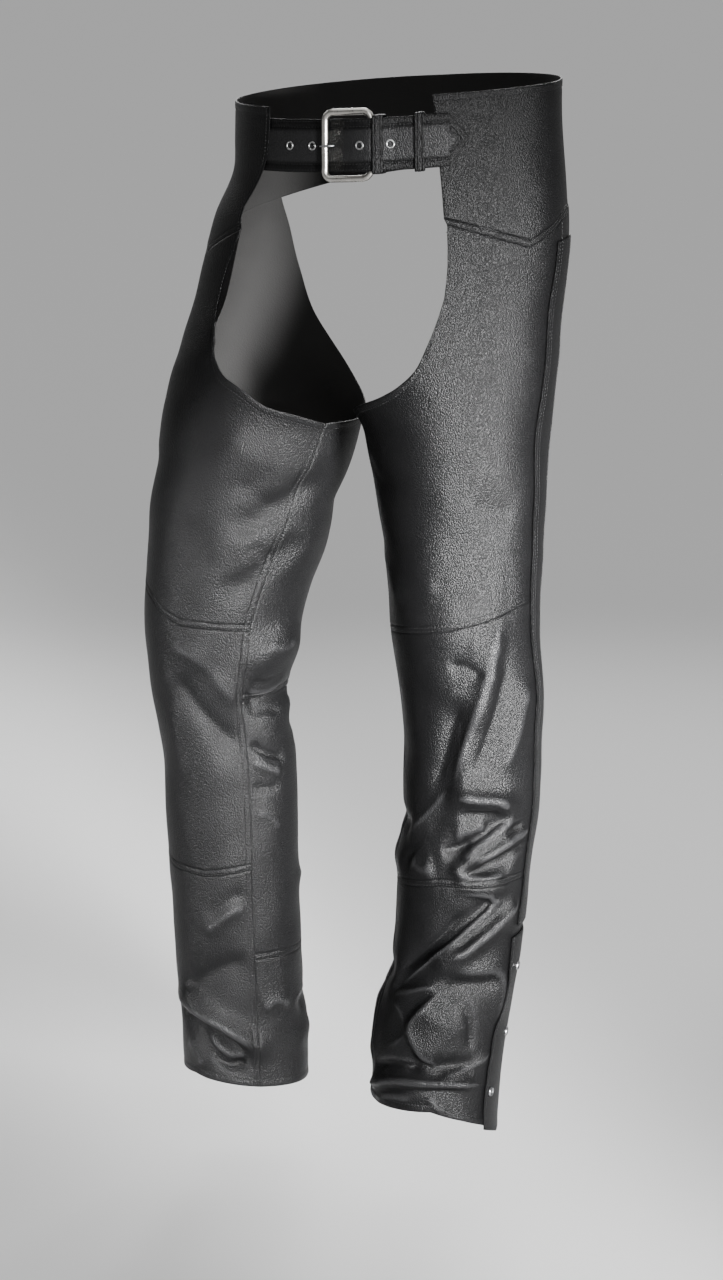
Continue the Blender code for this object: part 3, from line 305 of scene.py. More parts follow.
def smooth_path(rows, places, degree=THIGH_DEGREE):
    """A Catmull-Rom curve through the rows, read at shares of its length."""
    rows = np.array(rows, float)
    ends = np.vstack([2 * rows[0] - rows[1], rows, 2 * rows[-1] - rows[-2]])
    t = np.linspace(0, 1, 24, endpoint=False)[:, None]
    fine = []
    for a, b, c, d in zip(ends, ends[1:], ends[2:], ends[3:]):
        fine.append(b + ((c - a) * t + (2 * a - 5 * b + 4 * c - d) * t**2 + (3 * b - a - 3 * c + d) * t**3) / 2)
    fine = np.vstack(fine + [rows[-1:]])
    steps = np.linalg.norm(np.diff(fine * (degree, 1.0), axis=0), axis=1)
    length = np.concatenate([[0.0], np.cumsum(steps)])
    at = np.asarray(places) * length[-1]
    return np.stack([np.interp(at, length, fine[:, k]) for k in range(2)], axis=-1)


CREASE_ROUNDING, CREASE_PITCH = 0.38, 1.25
MAP_ANGLES = np.arange(0.0, FULL_TURN + 0.1, 1.2)
MAP_HEIGHTS = np.arange(-1.070, -0.070, 0.0016)


def crease_map(side):
    """The creases on a grid of the whole leg. Each is a ridge or trough whose height falls away on either side as
    an exponential of the distance over its reach there, rounded at the top, so that it stands between two nearly
    flat facets. Along it the height fades in and out. Long, low waves round and down the leg are added, so that no
    stretch of leather is quite even."""
    angle, height = np.meshgrid(MAP_ANGLES, MAP_HEIGHTS, indexing="ij")
    relief = np.zeros(angle.shape)
    chance = np.random.default_rng(31 if side == LEFT else 57)
    for turns, climb, size in ((2, 23, 4.5), (3, 37, 3.5), (5, 61, 2.2), (4, 90, 1.8), (7, 47, 1.6), (6, 120, 1.2)):
        phase = chance.uniform(0, 2 * math.pi)
        relief += size * 1e-4 * np.sin(np.radians(angle) * turns + height * climb + phase)
    for of_side, rise, left, right, places in CREASES:
        if of_side != side:
            continue
        line = smooth_path(places, np.linspace(0, 1, 16), CALF_DEGREE)
        centre = (line.min(axis=0) + line.max(axis=0)) / 2
        across = ((angle - centre[0] + FULL_TURN / 2) % FULL_TURN - FULL_TURN / 2) * CALF_DEGREE
        span = np.ptp(line, axis=0) / 2 * (CALF_DEGREE, 1.0) + 0.0045 * max(left, right)
        near = (np.abs(across) < span[0]) & (np.abs(height - centre[1]) < span[1])
        place = np.stack([across[near], height[near] - centre[1]], axis=-1)
        run = (line - centre) * (CALF_DEGREE, 1.0)
        step = np.diff(run, axis=0)
        gap = place[:, None] - run[None, :-1]
        t = np.clip((gap * step).sum(-1) / (step**2).sum(-1), 0, 1)
        away = gap - t[..., None] * step
        distance = np.linalg.norm(away, axis=-1)
        nearest = distance.argmin(axis=1)
        pick = np.arange(len(place)), nearest
        to_left = step[nearest, 0] * away[pick][:, 1] - step[nearest, 1] * away[pick][:, 0] > 0
        share = (nearest + t[pick]) / len(step)
        fade = np.clip(np.minimum(share, 1 - share) / 0.25, 0, 1)
        reach = np.where(to_left, left, right) * 0.001
        rounding = CREASE_ROUNDING * min(left, right) * 0.001
        slope = np.exp(-(np.hypot(distance[pick], rounding) - rounding) / reach * CREASE_PITCH)
        relief[near] += rise * 0.001 * fade * fade * (3 - 2 * fade) * slope
    return relief


def rub_and_highlight_map(relief, reach=3):
    """How far each place stands above the mean of those round it. It sets where the top coat is rubbed smoother, and
    where the leather's colour is painted lighter as a painted highlight.
    """
    mean = relief
    for axis in (0, 1):
        mean = sum(np.roll(mean, k, axis) for k in range(-reach, reach + 1)) / (2 * reach + 1)
    return (relief - mean) / 0.0006


crease_maps = {side: crease_map(side) for side in SIDES}
rub_and_highlight_maps = {side: rub_and_highlight_map(crease_maps[side]) for side in SIDES}


def read_map(table, angle, height):
    """A map of the leg read between its places."""
    i = np.mod(angle, FULL_TURN) / (MAP_ANGLES[1] - MAP_ANGLES[0])
    j = np.clip((height - MAP_HEIGHTS[0]) / (MAP_HEIGHTS[1] - MAP_HEIGHTS[0]), 0, len(MAP_HEIGHTS) - 1.001)
    low_i, low_j = np.floor(i).astype(int), np.floor(j).astype(int)
    s, t = i - low_i, j - low_j
    return (table[low_i, low_j] * (1 - s) + table[low_i + 1, low_j] * s) * (1 - t) + (
        table[low_i, low_j + 1] * (1 - s) + table[low_i + 1, low_j + 1] * s
    ) * t


def leg_surface(side):
    """A leg's points, outward normals, creases, and each place's rise above those round it, which sets its rubbed
    polish and painted highlight, from angles and heights.
    """

    def surface(angle, height):
        points, normal = with_normals(lambda a, h: leg_ring(side, a, h), angle, height)
        return points, side * normal, *(read_map(maps[side], angle, height) for maps in (crease_maps, rub_and_highlight_maps))

    return surface


def hip_surface(side):
    """The hips' points, outward normals and long, low waves, with angles counted from the front to one side."""

    def surface(angle, height):
        points, normal = with_normals(lambda a, h: hip_ring(side * a, h), angle, height)
        waves = np.sin(np.radians(angle) * 9 + height * 40) + np.sin(np.radians(angle) * 5 - height * 70 + 2)
        return points, side * normal, 0.0002 * waves, 0.0 * waves

    return surface


# The leather. Aniline-black cowhide with a fine pebbled grain that runs down the hide, a semi-gloss top coat that
# is rubbed smoother on the crests of folds and carries a painted highlight there in its colour, and a matt flesh side
# within.


class Shade:
    """A socket of a material. Arithmetic on it adds Math nodes, and node() adds any other node."""

    def __init__(self, tree, socket=None):
        self.tree, self.socket = tree, socket

    def node(self, kind, settings=(), inputs=(), output=0):
        made = self.tree.nodes.new(kind)
        for name, value in dict(settings).items():
            if name == "stops":
                for stop, (place, shade) in zip(made.color_ramp.elements, value):
                    stop.position, stop.color = place, (shade, shade, shade, 1.0)
            else:
                setattr(made, name, value)
        for name, value in dict(inputs).items():
            if isinstance(value, Shade):
                self.tree.links.new(value.socket, made.inputs[name])
            else:
                made.inputs[name].default_value = value
        return Shade(self.tree, made.outputs[output])

    def sum_node(self, operation, first, second):
        return self.node("ShaderNodeMath", {"operation": operation}, {0: first, 1: second})

    def __add__(self, other):
        return self.sum_node("ADD", self, other)

    def __radd__(self, other):
        return self.sum_node("ADD", other, self)

    def __sub__(self, other):
        return self.sum_node("SUBTRACT", self, other)

    def __rsub__(self, other):
        return self.sum_node("SUBTRACT", other, self)

    def __mul__(self, other):
        return self.sum_node("MULTIPLY", self, other)

    def __rmul__(self, other):
        return self.sum_node("MULTIPLY", other, self)

    def clamped(self):
        return self.node("ShaderNodeClamp", (), {"Value": self})

    def blend(self, dark, light):
        """A colour between two, by this value."""
        return self.node(
            "ShaderNodeMix", {"data_type": "RGBA"}, {0: self, "A": (*dark, 1.0), "B": (*light, 1.0)}, output=2
        )


def new_finish(name, **constants):
    """A material, its blank Shade and its Principled shader, with what doesn't vary set on the shader's sockets."""
    made = bpy.data.materials.new(name)
    made.use_nodes = True
    shader = made.node_tree.nodes["Principled BSDF"]
    for socket, value in constants.items():
        shader.inputs[socket.replace("_", " ")].default_value = value
    return made, Shade(made.node_tree), shader


def connect(shade, shader, **sockets):
    for socket, value in sockets.items():
        shade.tree.links.new(value.socket, shader.inputs[socket.replace("_", " ")])


def black_leather():
    made, shade, shader = new_finish("black_leather", Specular_IOR_Level=0.13)
    place = shade.node("ShaderNodeTexCoord", output=3)
    hide = shade.node("ShaderNodeMapping", (), {"Vector": place, "Scale": (1.0, 1.0, 0.6)})
    pebble = shade.node("ShaderNodeTexVoronoi", (), {"Vector": hide, "Scale": 900.0, "Randomness": 1.0})
    pores = shade.node("ShaderNodeTexNoise", (), {"Vector": hide, "Scale": 900.0, "Detail": 2.0, "Roughness": 0.6})
    drift = shade.node("ShaderNodeTexNoise", (), {"Vector": place, "Scale": 42.0, "Detail": 3.0, "Roughness": 0.55})
    cloud = shade.node("ShaderNodeTexNoise", (), {"Vector": place, "Scale": 9.0, "Detail": 2.0})
    polish_and_highlight = shade.node("ShaderNodeAttribute", {"attribute_name": "polish_and_highlight"}, output=2)
    # The crests' share. It lowers the roughness as rubbed polish, and lightens the base colour as a painted highlight.
    rub_and_highlight = (1.3 * polish_and_highlight - 0.2).clamped()
    # Base colour: random tone from two noises, plus the painted highlight on crests and raised bands.
    tone_and_highlight = (0.14 * cloud + 0.14 * drift + 0.86 * rub_and_highlight).clamped()
    connect(
        shade,
        shader,
        Base_Color=tone_and_highlight.blend((0.0005, 0.0005, 0.0006), (0.0100, 0.0100, 0.0104)),
        Roughness=0.43 - 0.10 * rub_and_highlight + 0.10 * (cloud - 0.5) + 0.14 * (pores - 0.5),
    )
    height = 0.7 * pores - 1.0 * pebble + 0.2 * drift
    bump = shade.node("ShaderNodeBump", (), {"Strength": 0.6, "Distance": 0.0009, "Height": height})
    connect(shade, shader, Normal=bump)
    return made


def flesh_side():
    made, shade, shader = new_finish("leather_flesh_side", Specular_IOR_Level=0.25)
    place = shade.node("ShaderNodeTexCoord", output=3)
    nap = shade.node("ShaderNodeTexNoise", (), {"Vector": place, "Scale": 700.0, "Detail": 3.0})
    cloud = shade.node("ShaderNodeTexNoise", (), {"Vector": place, "Scale": 30.0, "Detail": 2.0})
    connect(
        shade,
        shader,
        Base_Color=(0.6 * nap + 0.4 * cloud).blend((0.003, 0.003, 0.003), (0.014, 0.0135, 0.013)),
        Roughness=0.80 + 0.2 * (nap - 0.5),
        Normal=shade.node("ShaderNodeBump", (), {"Strength": 0.5, "Distance": 0.0006, "Height": nap}),
    )
    return made


leather, flesh = black_leather(), flesh_side()


def shell_faces(rows, columns, ring=False):
    """Quads of a closed wall between two grids: the outer skin, the inner one turned round, and the rim."""
    index = np.arange(rows * columns).reshape(rows, columns)
    if ring:
        index = np.vstack([index, index[:1]])
    skin = np.stack([index[:-1, :-1], index[1:, :-1], index[1:, 1:], index[:-1, 1:]], axis=-1).reshape(-1, 4)
    down, up = index[:, 0], index[::-1, -1]
    if ring:
        edges = np.concatenate([np.stack([line[:-1], line[1:]], axis=-1) for line in (down, up)])
    else:
        loop = np.concatenate([down[:-1], index[-1, :-1], up[:-1], index[0, :0:-1]])
        edges = np.stack([loop, np.roll(loop, -1)], axis=-1)
    far = rows * columns
    rim = np.stack([edges[:, 1], edges[:, 0], edges[:, 0] + far, edges[:, 1] + far], axis=-1)
    return skin, skin[:, ::-1] + far, rim


def add_piece(name, points, faces, materials, marks=None, polish_and_highlight=None, sharp=50.0):
    """A mesh object at the origin. Marks gives each face's material, and the per-point values, kept as a point
    attribute, each point's share of rubbed polish and painted highlight.
    """
    mesh = bpy.data.meshes.new(name)
    mesh.from_pydata(points.tolist(), [], faces.tolist() if isinstance(faces, np.ndarray) else faces)
    for material in materials:
        mesh.materials.append(material)
    if marks is not None:
        mesh.polygons.foreach_set("material_index", np.asarray(marks, np.int32))
    if polish_and_highlight is not None:
        mesh.attributes.new("polish_and_highlight", "FLOAT", "POINT").data.foreach_set("value", polish_and_highlight.astype(np.float32))
    mesh.shade_smooth()
    mesh.set_sharp_from_angle(angle=math.radians(sharp))
    piece = bpy.data.objects.new(name, mesh)
    bpy.context.scene.collection.objects.link(piece)
    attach(piece, "root")
    return piece


def wall_piece(name, outer, inner, polish_and_highlight=None, materials=None, ring=False):
    """A closed wall between an outer and an inner grid, with its faces turned to point out."""
    skin, lining, rim = shell_faces(*outer.shape[:2], ring=ring)
    faces = np.concatenate([skin, rim, lining])
    marks = np.repeat([0, 0, 1], [len(skin), len(rim), len(lining)])
    flat_outer, flat_inner = outer.reshape(-1, 3), inner.reshape(-1, 3)
    a, b, d = (flat_outer[skin[:, k]] for k in (0, 1, 3))
    if (np.cross(b - a, d - a) * (flat_outer - flat_inner)[skin[:, 0]]).sum() < 0:
        faces = faces[:, ::-1]
    polish_and_highlight = np.zeros(outer.shape[:2]) if polish_and_highlight is None else polish_and_highlight
    both = np.concatenate([polish_and_highlight.ravel(), polish_and_highlight.ravel()])
    return add_piece(name, np.concatenate([flat_outer, flat_inner]), faces, materials or [leather, flesh], marks, both)


# The leg panels. Each is cut from the hide, skived, and joined to the next by a lapped seam: one edge is turned
# into a 7 mm band with two rows of stitches. Raw edges at the open front, seat and hem are turned and stitched.

OPENING_EDGE = {
    LEFT: (
        (-80.0, -0.288), (-60.0, -0.279), (-36.0, -0.266), (-24.0, -0.258), (-12.0, -0.246), (-1.0, -0.228),
        (6.0, -0.204), (10.5, -0.180), (13.0, -0.154), (13.5, -0.130), (12.5, -0.108), (11.0, -0.084),
    ),
    RIGHT: (
        (-80.0, -0.300), (-56.0, -0.286), (-38.0, -0.276), (-19.0, -0.256), (-3.0, -0.240), (8.0, -0.221),
        (14.0, -0.202), (20.5, -0.180), (24.5, -0.150), (23.5, -0.120), (20.5, -0.103), (18.5, -0.086),
    ),
}
YOKE_SEAM = {
    LEFT: ((34.5, -0.084), (50.0, -0.100), (67.0, -0.117), (90.0, -0.098)),
    RIGHT: ((40.0, -0.086), (52.0, -0.100), (67.0, -0.117), (90.0, -0.098)),
}
BACK_YOKE_SEAM = ((90.0, -0.098), (124.0, -0.080))
SEAT_EDGE = {
    LEFT: ((138.0, -0.112), (147.0, -0.160), (160.0, -0.210), (180.0, -0.248), (205.0, -0.276), (240.0, -0.291),
           (280.0, -0.288)),
    RIGHT: ((138.0, -0.112), (147.0, -0.160), (160.0, -0.212), (180.0, -0.254), (205.0, -0.284), (240.0, -0.301),
            (280.0, -0.300)),
}
KNEE_SEAM = {
    LEFT: ((-80.0, -0.510), (-40.0, -0.503), (0.0, -0.495), (40.0, -0.481), (62.0, -0.474), (85.0, -0.472)),
    RIGHT: ((-80.0, -0.518), (-54.0, -0.515), (-27.0, -0.512), (-12.0, -0.505), (9.0, -0.488), (40.0, -0.476),
            (85.0, -0.470)),
}
SHIN_SEAM = {
    LEFT: ((-80.0, -0.774), (-13.0, -0.761), (85.0, -0.761)),
    RIGHT: ((-80.0, -0.781), (-38.0, -0.790), (0.0, -0.786), (85.0, -0.770)),
}
BACK_KNEE_SEAM = ((85.0, -0.590), (280.0, -0.594))
ANKLE_SEAM = ((85.0, -0.884), (280.0, -0.884))
HEM = {
    LEFT: ((-80.0, -1.006), (5.0, -1.002), (33.0, -1.014), (85.0, -1.040), (180.0, -1.040), (280.0, -1.006)),
    RIGHT: ((-80.0, -1.032), (-14.0, -1.024), (85.0, -1.036), (180.0, -1.040), (280.0, -1.032)),
}
OPENING_SHARE = 10 / 16
SEAT_SHARE = 4 / 14
FLAP_FRONT, FLAP_BACK = 70.0, 103.0

stitches = {"left": [], "right": [], "belt": []}
flat_sizes = {}


def spaced(length, step):
    """Shares of a length, closer together by both ends, where the edge is turned and stitched."""
    near = np.array([0.0, 0.5, 1.1, 1.8, 2.8, 4.2, 5.6, 6.6, 7.4, 8.4, 10.0]) * 0.001
    count = max(2, round((length - 2 * near[-1]) / step))
    middle = np.linspace(near[-1], length - near[-1], count + 1)[1:-1]
    return np.concatenate([near, middle, length - near[::-1]]) / length


def edge_profile(kind, d):
    """How far a face is raised, and how far it is sunk, at a distance from its edge. A lapped or turned edge is a
    raised band that ends in a groove. Every edge rolls down, and each row of stitches lies in a shallow groove."""
    at = lambda place, width: np.exp(-(((d - place) / width) ** 2))
    band = lambda reach, width: 1 / (1 + np.exp(np.clip((d - reach) / width, -30, 30)))
    if kind == "band":
        rows = 0.0004 * (at(0.0018, 0.0007) + at(0.0056, 0.0007))
        return 0.0002 * band(0.0068, 0.00035), -0.0011 * at(0.0, 0.0011) - 0.0010 * at(0.0071, 0.0008) - rows
    if kind == "turned":
        rows = 0.0006 * at(0.0074, 0.0008) + 0.0003 * at(0.0094, 0.0008)
        return 0.0004 * band(0.0086, 0.0004), -0.0006 * at(0.0, 0.0011) - rows
    if kind == "cut":
        return 0.0 * d, -0.0005 * at(0.0, 0.0011) - 0.0002 * at(0.0040, 0.0007)
    return 0.0 * d, -0.0010 * at(0.0, 0.0011)


def edge_distances(points):
    """How far each point of a grid is from its first and last column and row, along the leather."""
    across = np.linalg.norm(np.diff(points, axis=1), axis=-1).cumsum(axis=1)
    along = np.linalg.norm(np.diff(points, axis=0), axis=-1).cumsum(axis=0)
    across = np.pad(across, ((0, 0), (1, 0)))
    along = np.pad(along, ((1, 0), (0, 0)))
    return {"first": across, "last": across[:, -1:] - across, "top": along, "bottom": along[-1:] - along}


def row_at(grid, distance, place, edge):
    """The line of a grid's points at a distance in from one edge."""
    if edge in ("top", "bottom"):
        grid, distance = grid.swapaxes(0, 1), distance.T
    if edge in ("last", "bottom"):
        grid, distance = grid[:, ::-1], distance[:, ::-1]
    k = np.clip((distance < place).sum(axis=1), 1, distance.shape[1] - 1)[:, None]
    low, high = (np.take_along_axis(distance, k - step, axis=1) for step in (1, 0))
    t = np.clip((place - low) / (high - low), 0, 1)[..., None]
    before, after = (np.take_along_axis(grid, (k - step)[..., None], axis=1) for step in (1, 0))
    return (before * (1 - t) + after * t)[:, 0]


def sew(group, panel, edge, place, low=-1e9, high=1e9, first=0.0, last=1.0):
    """Notes a row of stitches on a panel, at a distance from one edge, between two angles."""
    row = row_at(np.concatenate([panel["outer"], panel["normal"], panel["angle"][..., None]], axis=-1),
                 panel["distance"][edge], place, edge)
    keep = (row[:, 6] > low) & (row[:, 6] < high)
    keep &= (np.linspace(0, 1, len(row)) >= first) & (np.linspace(0, 1, len(row)) <= last)
    if keep.sum() > 3:
        stitches[group].append(row[keep, :6])


def cut_leather(name, surface, angle, height, edges, out=0.0, lift=None, thickness=LEATHER, replaces=(), held="hung"):
    """One panel. The outer face is the surface moved out along its normals by the creases and the edge profiles,
    and the inner face is the same moved in by the leather's thickness."""
    points, normal, crease, rub_and_highlight = surface(angle, height)
    distance = edge_distances(points)
    bare = 1 - np.exp(-(np.clip(np.minimum(angle - FLAP_FRONT, FLAP_BACK - angle), -9, 0) / 2.0) ** 2)
    raised, sunk = np.zeros(angle.shape), np.zeros(angle.shape)
    for edge, kind in edges.items():
        first, then, change = kind if isinstance(kind, tuple) else (kind, kind, 0)
        before = np.arange(angle.shape[1]) < change
        for part, limit in ((0, np.maximum), (1, np.minimum)):
            each = np.where(before, *(edge_profile(k, distance[edge])[part] for k in (first, then)))
            if part == 0:
                raised = limit(raised, each)
            else:
                sunk = limit(sunk, each)
    profile = raised + sunk
    if lift is None:
        profile = np.where(profile > 0, profile * bare, profile)
        lift = 0.0
    outer = points + normal * (crease + profile + out + lift)[..., None]
    inner_roll = sum(0.0003 * np.exp(-((distance[edge] / 0.001) ** 2)) for edge in edges)
    inner = points + normal * (crease + out + lift - thickness + inner_roll)[..., None]
    # Crests and raised seam bands get a painted highlight in the leather's colour, and the grooves none.
    piece = wall_piece(name, outer, inner, np.clip(rub_and_highlight + profile / 0.0016, -1, 1))
    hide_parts(*replaces)
    cells = np.cross(points[1:, :-1] - points[:-1, :-1], points[:-1, 1:] - points[:-1, :-1])
    width, length = distance["last"][:, 0].max(), distance["bottom"][0].max()
    area = min(np.linalg.norm(cells, axis=-1).sum(), width * length)
    flat_sizes[name] = (width, length, area)
    return {"piece": piece, "outer": outer, "normal": normal, "angle": angle, "distance": distance, "name": name}


def seam_line(rows, angles):
    rows = np.array(rows, float)
    return np.stack([angles, np.interp(angles, rows[:, 0], rows[:, 1])], axis=-1)


def leg_angle(hip_angle):
    return OUTSEAM + (abs(hip_angle) - HIP_SIDE) / HIP_SPREAD


def front_top(side, share):
    """The top of a leg's front: the opening's smooth edge, then straight runs along the yoke's seam."""
    corners = np.array([(leg_angle(angle), height) for angle, height in YOKE_SEAM[side]])
    opening = smooth_path(OPENING_EDGE[side], np.clip(share / OPENING_SHARE, 0, 1))
    at = (share - OPENING_SHARE) / (1 - OPENING_SHARE) * (len(corners) - 1)
    seam = np.stack([np.interp(at, np.arange(len(corners)), corners[:, k]) for k in range(2)], axis=-1)
    return np.where((share <= OPENING_SHARE)[:, None], opening, seam)


def back_top(side, share):
    """The top of a leg's back: the yoke's seam, then the smooth edge of the open seat."""
    under = np.array([(leg_angle(angle), height) for angle, height in BACK_YOKE_SEAM])
    seam = under[0] + (under[1] - under[0]) * np.clip(share / SEAT_SHARE, 0, 1)[:, None]
    seat = smooth_path([under[1], *SEAT_EDGE[side]], np.clip((share - SEAT_SHARE) / (1 - SEAT_SHARE), 0, 1))
    return np.where((share <= SEAT_SHARE)[:, None], seam, seat)


def between(above, below, length, step=0.003):
    """A grid from one guide line to another, let out a little on all four sides so that seams have no slit."""
    share = spaced(length, step)[:, None, None]
    grid = above * (1 - share) + below * share
    run = (grid[-1] - grid[0]) * (THIGH_DEGREE, 1.0)
    run /= np.linalg.norm(run, axis=-1, keepdims=True)
    grid[0] -= run / (THIGH_DEGREE, 1.0) * SEAM_LAP
    grid[-1] += run / (THIGH_DEGREE, 1.0) * SEAM_LAP
    grid[:, 0, 0] -= SEAM_LAP / THIGH_DEGREE
    grid[:, -1, 0] += SEAM_LAP / THIGH_DEGREE
    return grid[..., 0], grid[..., 1]


panels = {}
for side, word in SIDES.items():
    surface = leg_surface(side)
    share = spaced(0.26, 0.003)
    share[np.abs(share - OPENING_SHARE).argmin()] = OPENING_SHARE
    ahead = INSEAM + (OUTSEAM - INSEAM) * share
    guides = [front_top(side, share)] + [seam_line(rows[side], ahead) for rows in (KNEE_SEAM, SHIN_SEAM, HEM)]
    for name, k, length, edges in (
        ("front_thigh", 0, 0.235, {"top": ("turned", "plain", (share <= OPENING_SHARE).sum()), "bottom": "band", "first": "band", "last": "plain"}),
        ("front_knee", 1, 0.275, {"top": "plain", "bottom": "band", "first": "band", "last": "plain"}),
        ("front_shin", 2, 0.25, {"top": "plain", "bottom": "turned", "first": "band", "last": "plain"}),
    ):
        angle, height = between(guides[k], guides[k + 1], length, 0.0019 if k else 0.003)
        panels[name, side] = cut_leather(f"{name}_{word}_leather", surface, angle, height, edges, replaces=[f"{name}_{word}"])
    share = spaced(0.28, 0.0032)
    share[np.abs(share - SEAT_SHARE).argmin()] = SEAT_SHARE
    behind = OUTSEAM + (INSEAM + FULL_TURN - OUTSEAM) * share
    guides = [back_top(side, share)] + [seam_line(rows, behind) for rows in (BACK_KNEE_SEAM, ANKLE_SEAM, HEM[side])]
    for name, k, length, edges in (
        ("back_thigh", 0, 0.36, {"top": ("plain", "turned", (share < SEAT_SHARE).sum()), "bottom": "band", "first": "plain", "last": "plain"}),
        ("back_calf", 1, 0.29, {"top": "plain", "bottom": "band", "first": "plain", "last": "plain"}),
        ("back_ankle", 2, 0.14, {"top": "plain", "bottom": "turned", "first": "plain", "last": "plain"}),
    ):
        angle, height = between(guides[k], guides[k + 1], length, 0.0034)
        panels[name, side] = cut_leather(f"{name}_{word}_leather", surface, angle, height, edges, replaces=[f"{name}_{word}"])
    for name in ("front_thigh", "front_knee", "front_shin"):
        for place in (0.0018, 0.0056):
            sew(word, panels[name, side], "first", place)
    for name, top in (("front_thigh", False), ("front_knee", False), ("back_thigh", True), ("back_calf", True)):
        low, high = (FLAP_BACK, 1e9) if top else (-1e9, FLAP_FRONT)
        for place in (0.0018, 0.0056):
            sew(word, panels[name, side], "bottom", place, low, high)
    sew(word, panels["front_thigh", side], "top", 0.0074, last=OPENING_SHARE)
    sew(word, panels["back_thigh", side], "top", 0.0074, first=SEAT_SHARE)
    sew(word, panels["front_shin", side], "bottom", 0.0074, high=56.0)
    sew(word, panels["back_ankle", side], "bottom", 0.0074, low=114.0)


# The flaps. A narrow strip of leather down each outseam covers the leg's zip, and a wider one below it closes
# with three snaps. Both are double leather, stitched round, and lie on the panels.

FLAPS = {
    "zip_flap": ((-0.118, 77.0, 101.0), (-0.300, 72.5, 100.0), (-0.480, 73.5, 100.0), (-0.815, 72.0, 100.0)),
    "snap_flap": ((-0.824, 62.0, 112.0), (-0.900, 60.0, 112.0), (-1.046, 58.0, 110.0)),
}
FLAP_LAY = 0.0006

for side, word in SIDES.items():
    for name, rows in FLAPS.items():
        table = np.array(rows)[::-1]
        length = table[-1, 0] - table[0, 0]
        at = table[-1, 0] - length * spaced(length, 0.003)
        edges = np.stack([np.interp(at, table[:, 0], table[:, k]) for k in (1, 2)], axis=-1)
        share = spaced(0.045 if name == "zip_flap" else 0.068, 0.003)
        angle = edges[:, :1] + (edges[:, 1:] - edges[:, :1]) * share
        hem = np.array(HEM[side])
        height = np.repeat(at[:, None], len(share), axis=1)
        lowest = np.interp(angle, hem[:, 0], hem[:, 1]) - 0.005
        height = np.where(name == "snap_flap", height + (lowest - table[0, 0]) * ((table[-1, 0] - height) / length) ** 3, height)
        flap = cut_leather(
            f"{name}_{word}_leather", leg_surface(side), angle, height,
            {"first": "cut", "last": "cut", "top": "cut", "bottom": "cut"},
            out=LEATHER + FLAP_LAY, lift=np.zeros(angle.shape), replaces=[f"{name}_{word}"],
        )
        panels[name, side] = flap
        for edge in ("first", "last"):
            sew(word, flap, edge, 0.0040)
            if name == "zip_flap":
                sew(word, flap, edge, 0.0085)
        sew(word, flap, "bottom", 0.0040)
        if name == "snap_flap":
            sew(word, flap, "top", 0.0040)


# The hip yokes. One shaped piece a side, from the front edge, where the belt is sewn in behind, round to a plain
# seam at the middle of the back. The top edge is turned and stitched, and the lower one is lapped over the legs.

CENTRE_BACK_EDGE = ((124.0, -0.080), (146.0, -0.068), (180.0, -0.058))
YOKE_TOP = {
    LEFT: ((28.0, 0.0455), (60.0, 0.0430), (90.0, 0.0405), (180.0, 0.0370)),
    RIGHT: ((33.0, 0.0380), (90.0, 0.0370), (180.0, 0.0370)),
}
YOKE_FRONT_EDGE = {
    LEFT: ((0.046, 28.6), (0.034, 29.2), (-0.030, 31.0), (-0.078, 33.4), (-0.084, 34.5)),
    RIGHT: ((0.046, 33.5), (0.020, 34.2), (-0.008, 35.0), (-0.034, 39.0), (-0.062, 43.0), (-0.074, 42.4),
            (-0.086, 40.0)),
}
YOKE_EDGE_REACH = 34.0

for side, word in SIDES.items():
    corners = np.array([*YOKE_SEAM[side], BACK_YOKE_SEAM[1], *CENTRE_BACK_EDGE[1:]])
    reach = np.concatenate([[0.0], np.cumsum(np.linalg.norm(np.diff(corners * (0.0030, 1.0), axis=0), axis=1))])
    at = spaced(reach[-1], 0.003) * reach[-1]
    lower = np.stack([np.interp(at, reach, corners[:, k]) for k in range(2)], axis=-1)
    share = spaced(0.14, 0.003)[::-1][:, None]
    low = lower[None, :, 1] - SEAM_LAP
    top = np.array(YOKE_TOP[side])
    height = low + (np.interp(lower[None, :, 0], top[:, 0], top[:, 1]) - low) * share
    fade = np.clip(1 - (lower[:, 0] - lower[0, 0]) / YOKE_EDGE_REACH, 0, 1) ** 2
    front = np.interp(height[:, 0], *np.array(YOKE_FRONT_EDGE[side])[::-1].T)
    angle = lower[None, :, 0] + (front - lower[0, 0])[:, None] * fade[None]
    angle[:, -1] += SEAM_LAP / THIGH_DEGREE
    yoke = cut_leather(
        f"yoke_{word}_leather", hip_surface(side), angle, height,
        {"top": "turned", "bottom": "band", "first": "cut", "last": "plain"},
        lift=np.zeros(angle.shape), replaces=[f"yoke_{word}"],
    )
    panels["yoke", side] = yoke
    sew(word, yoke, "top", 0.0074)
    for place in (0.0018, 0.0056):
        sew(word, yoke, "bottom", place)
    sew(word, yoke, "first", 0.0040)
    sew(word, yoke, "last", 0.0030)


# The belt. A tongue of two hides with a padded middle is sewn behind the right yoke, passes under the buckle's
# left bar and over its right one, and ends in a point on the left yoke. The chape carries the buckle.

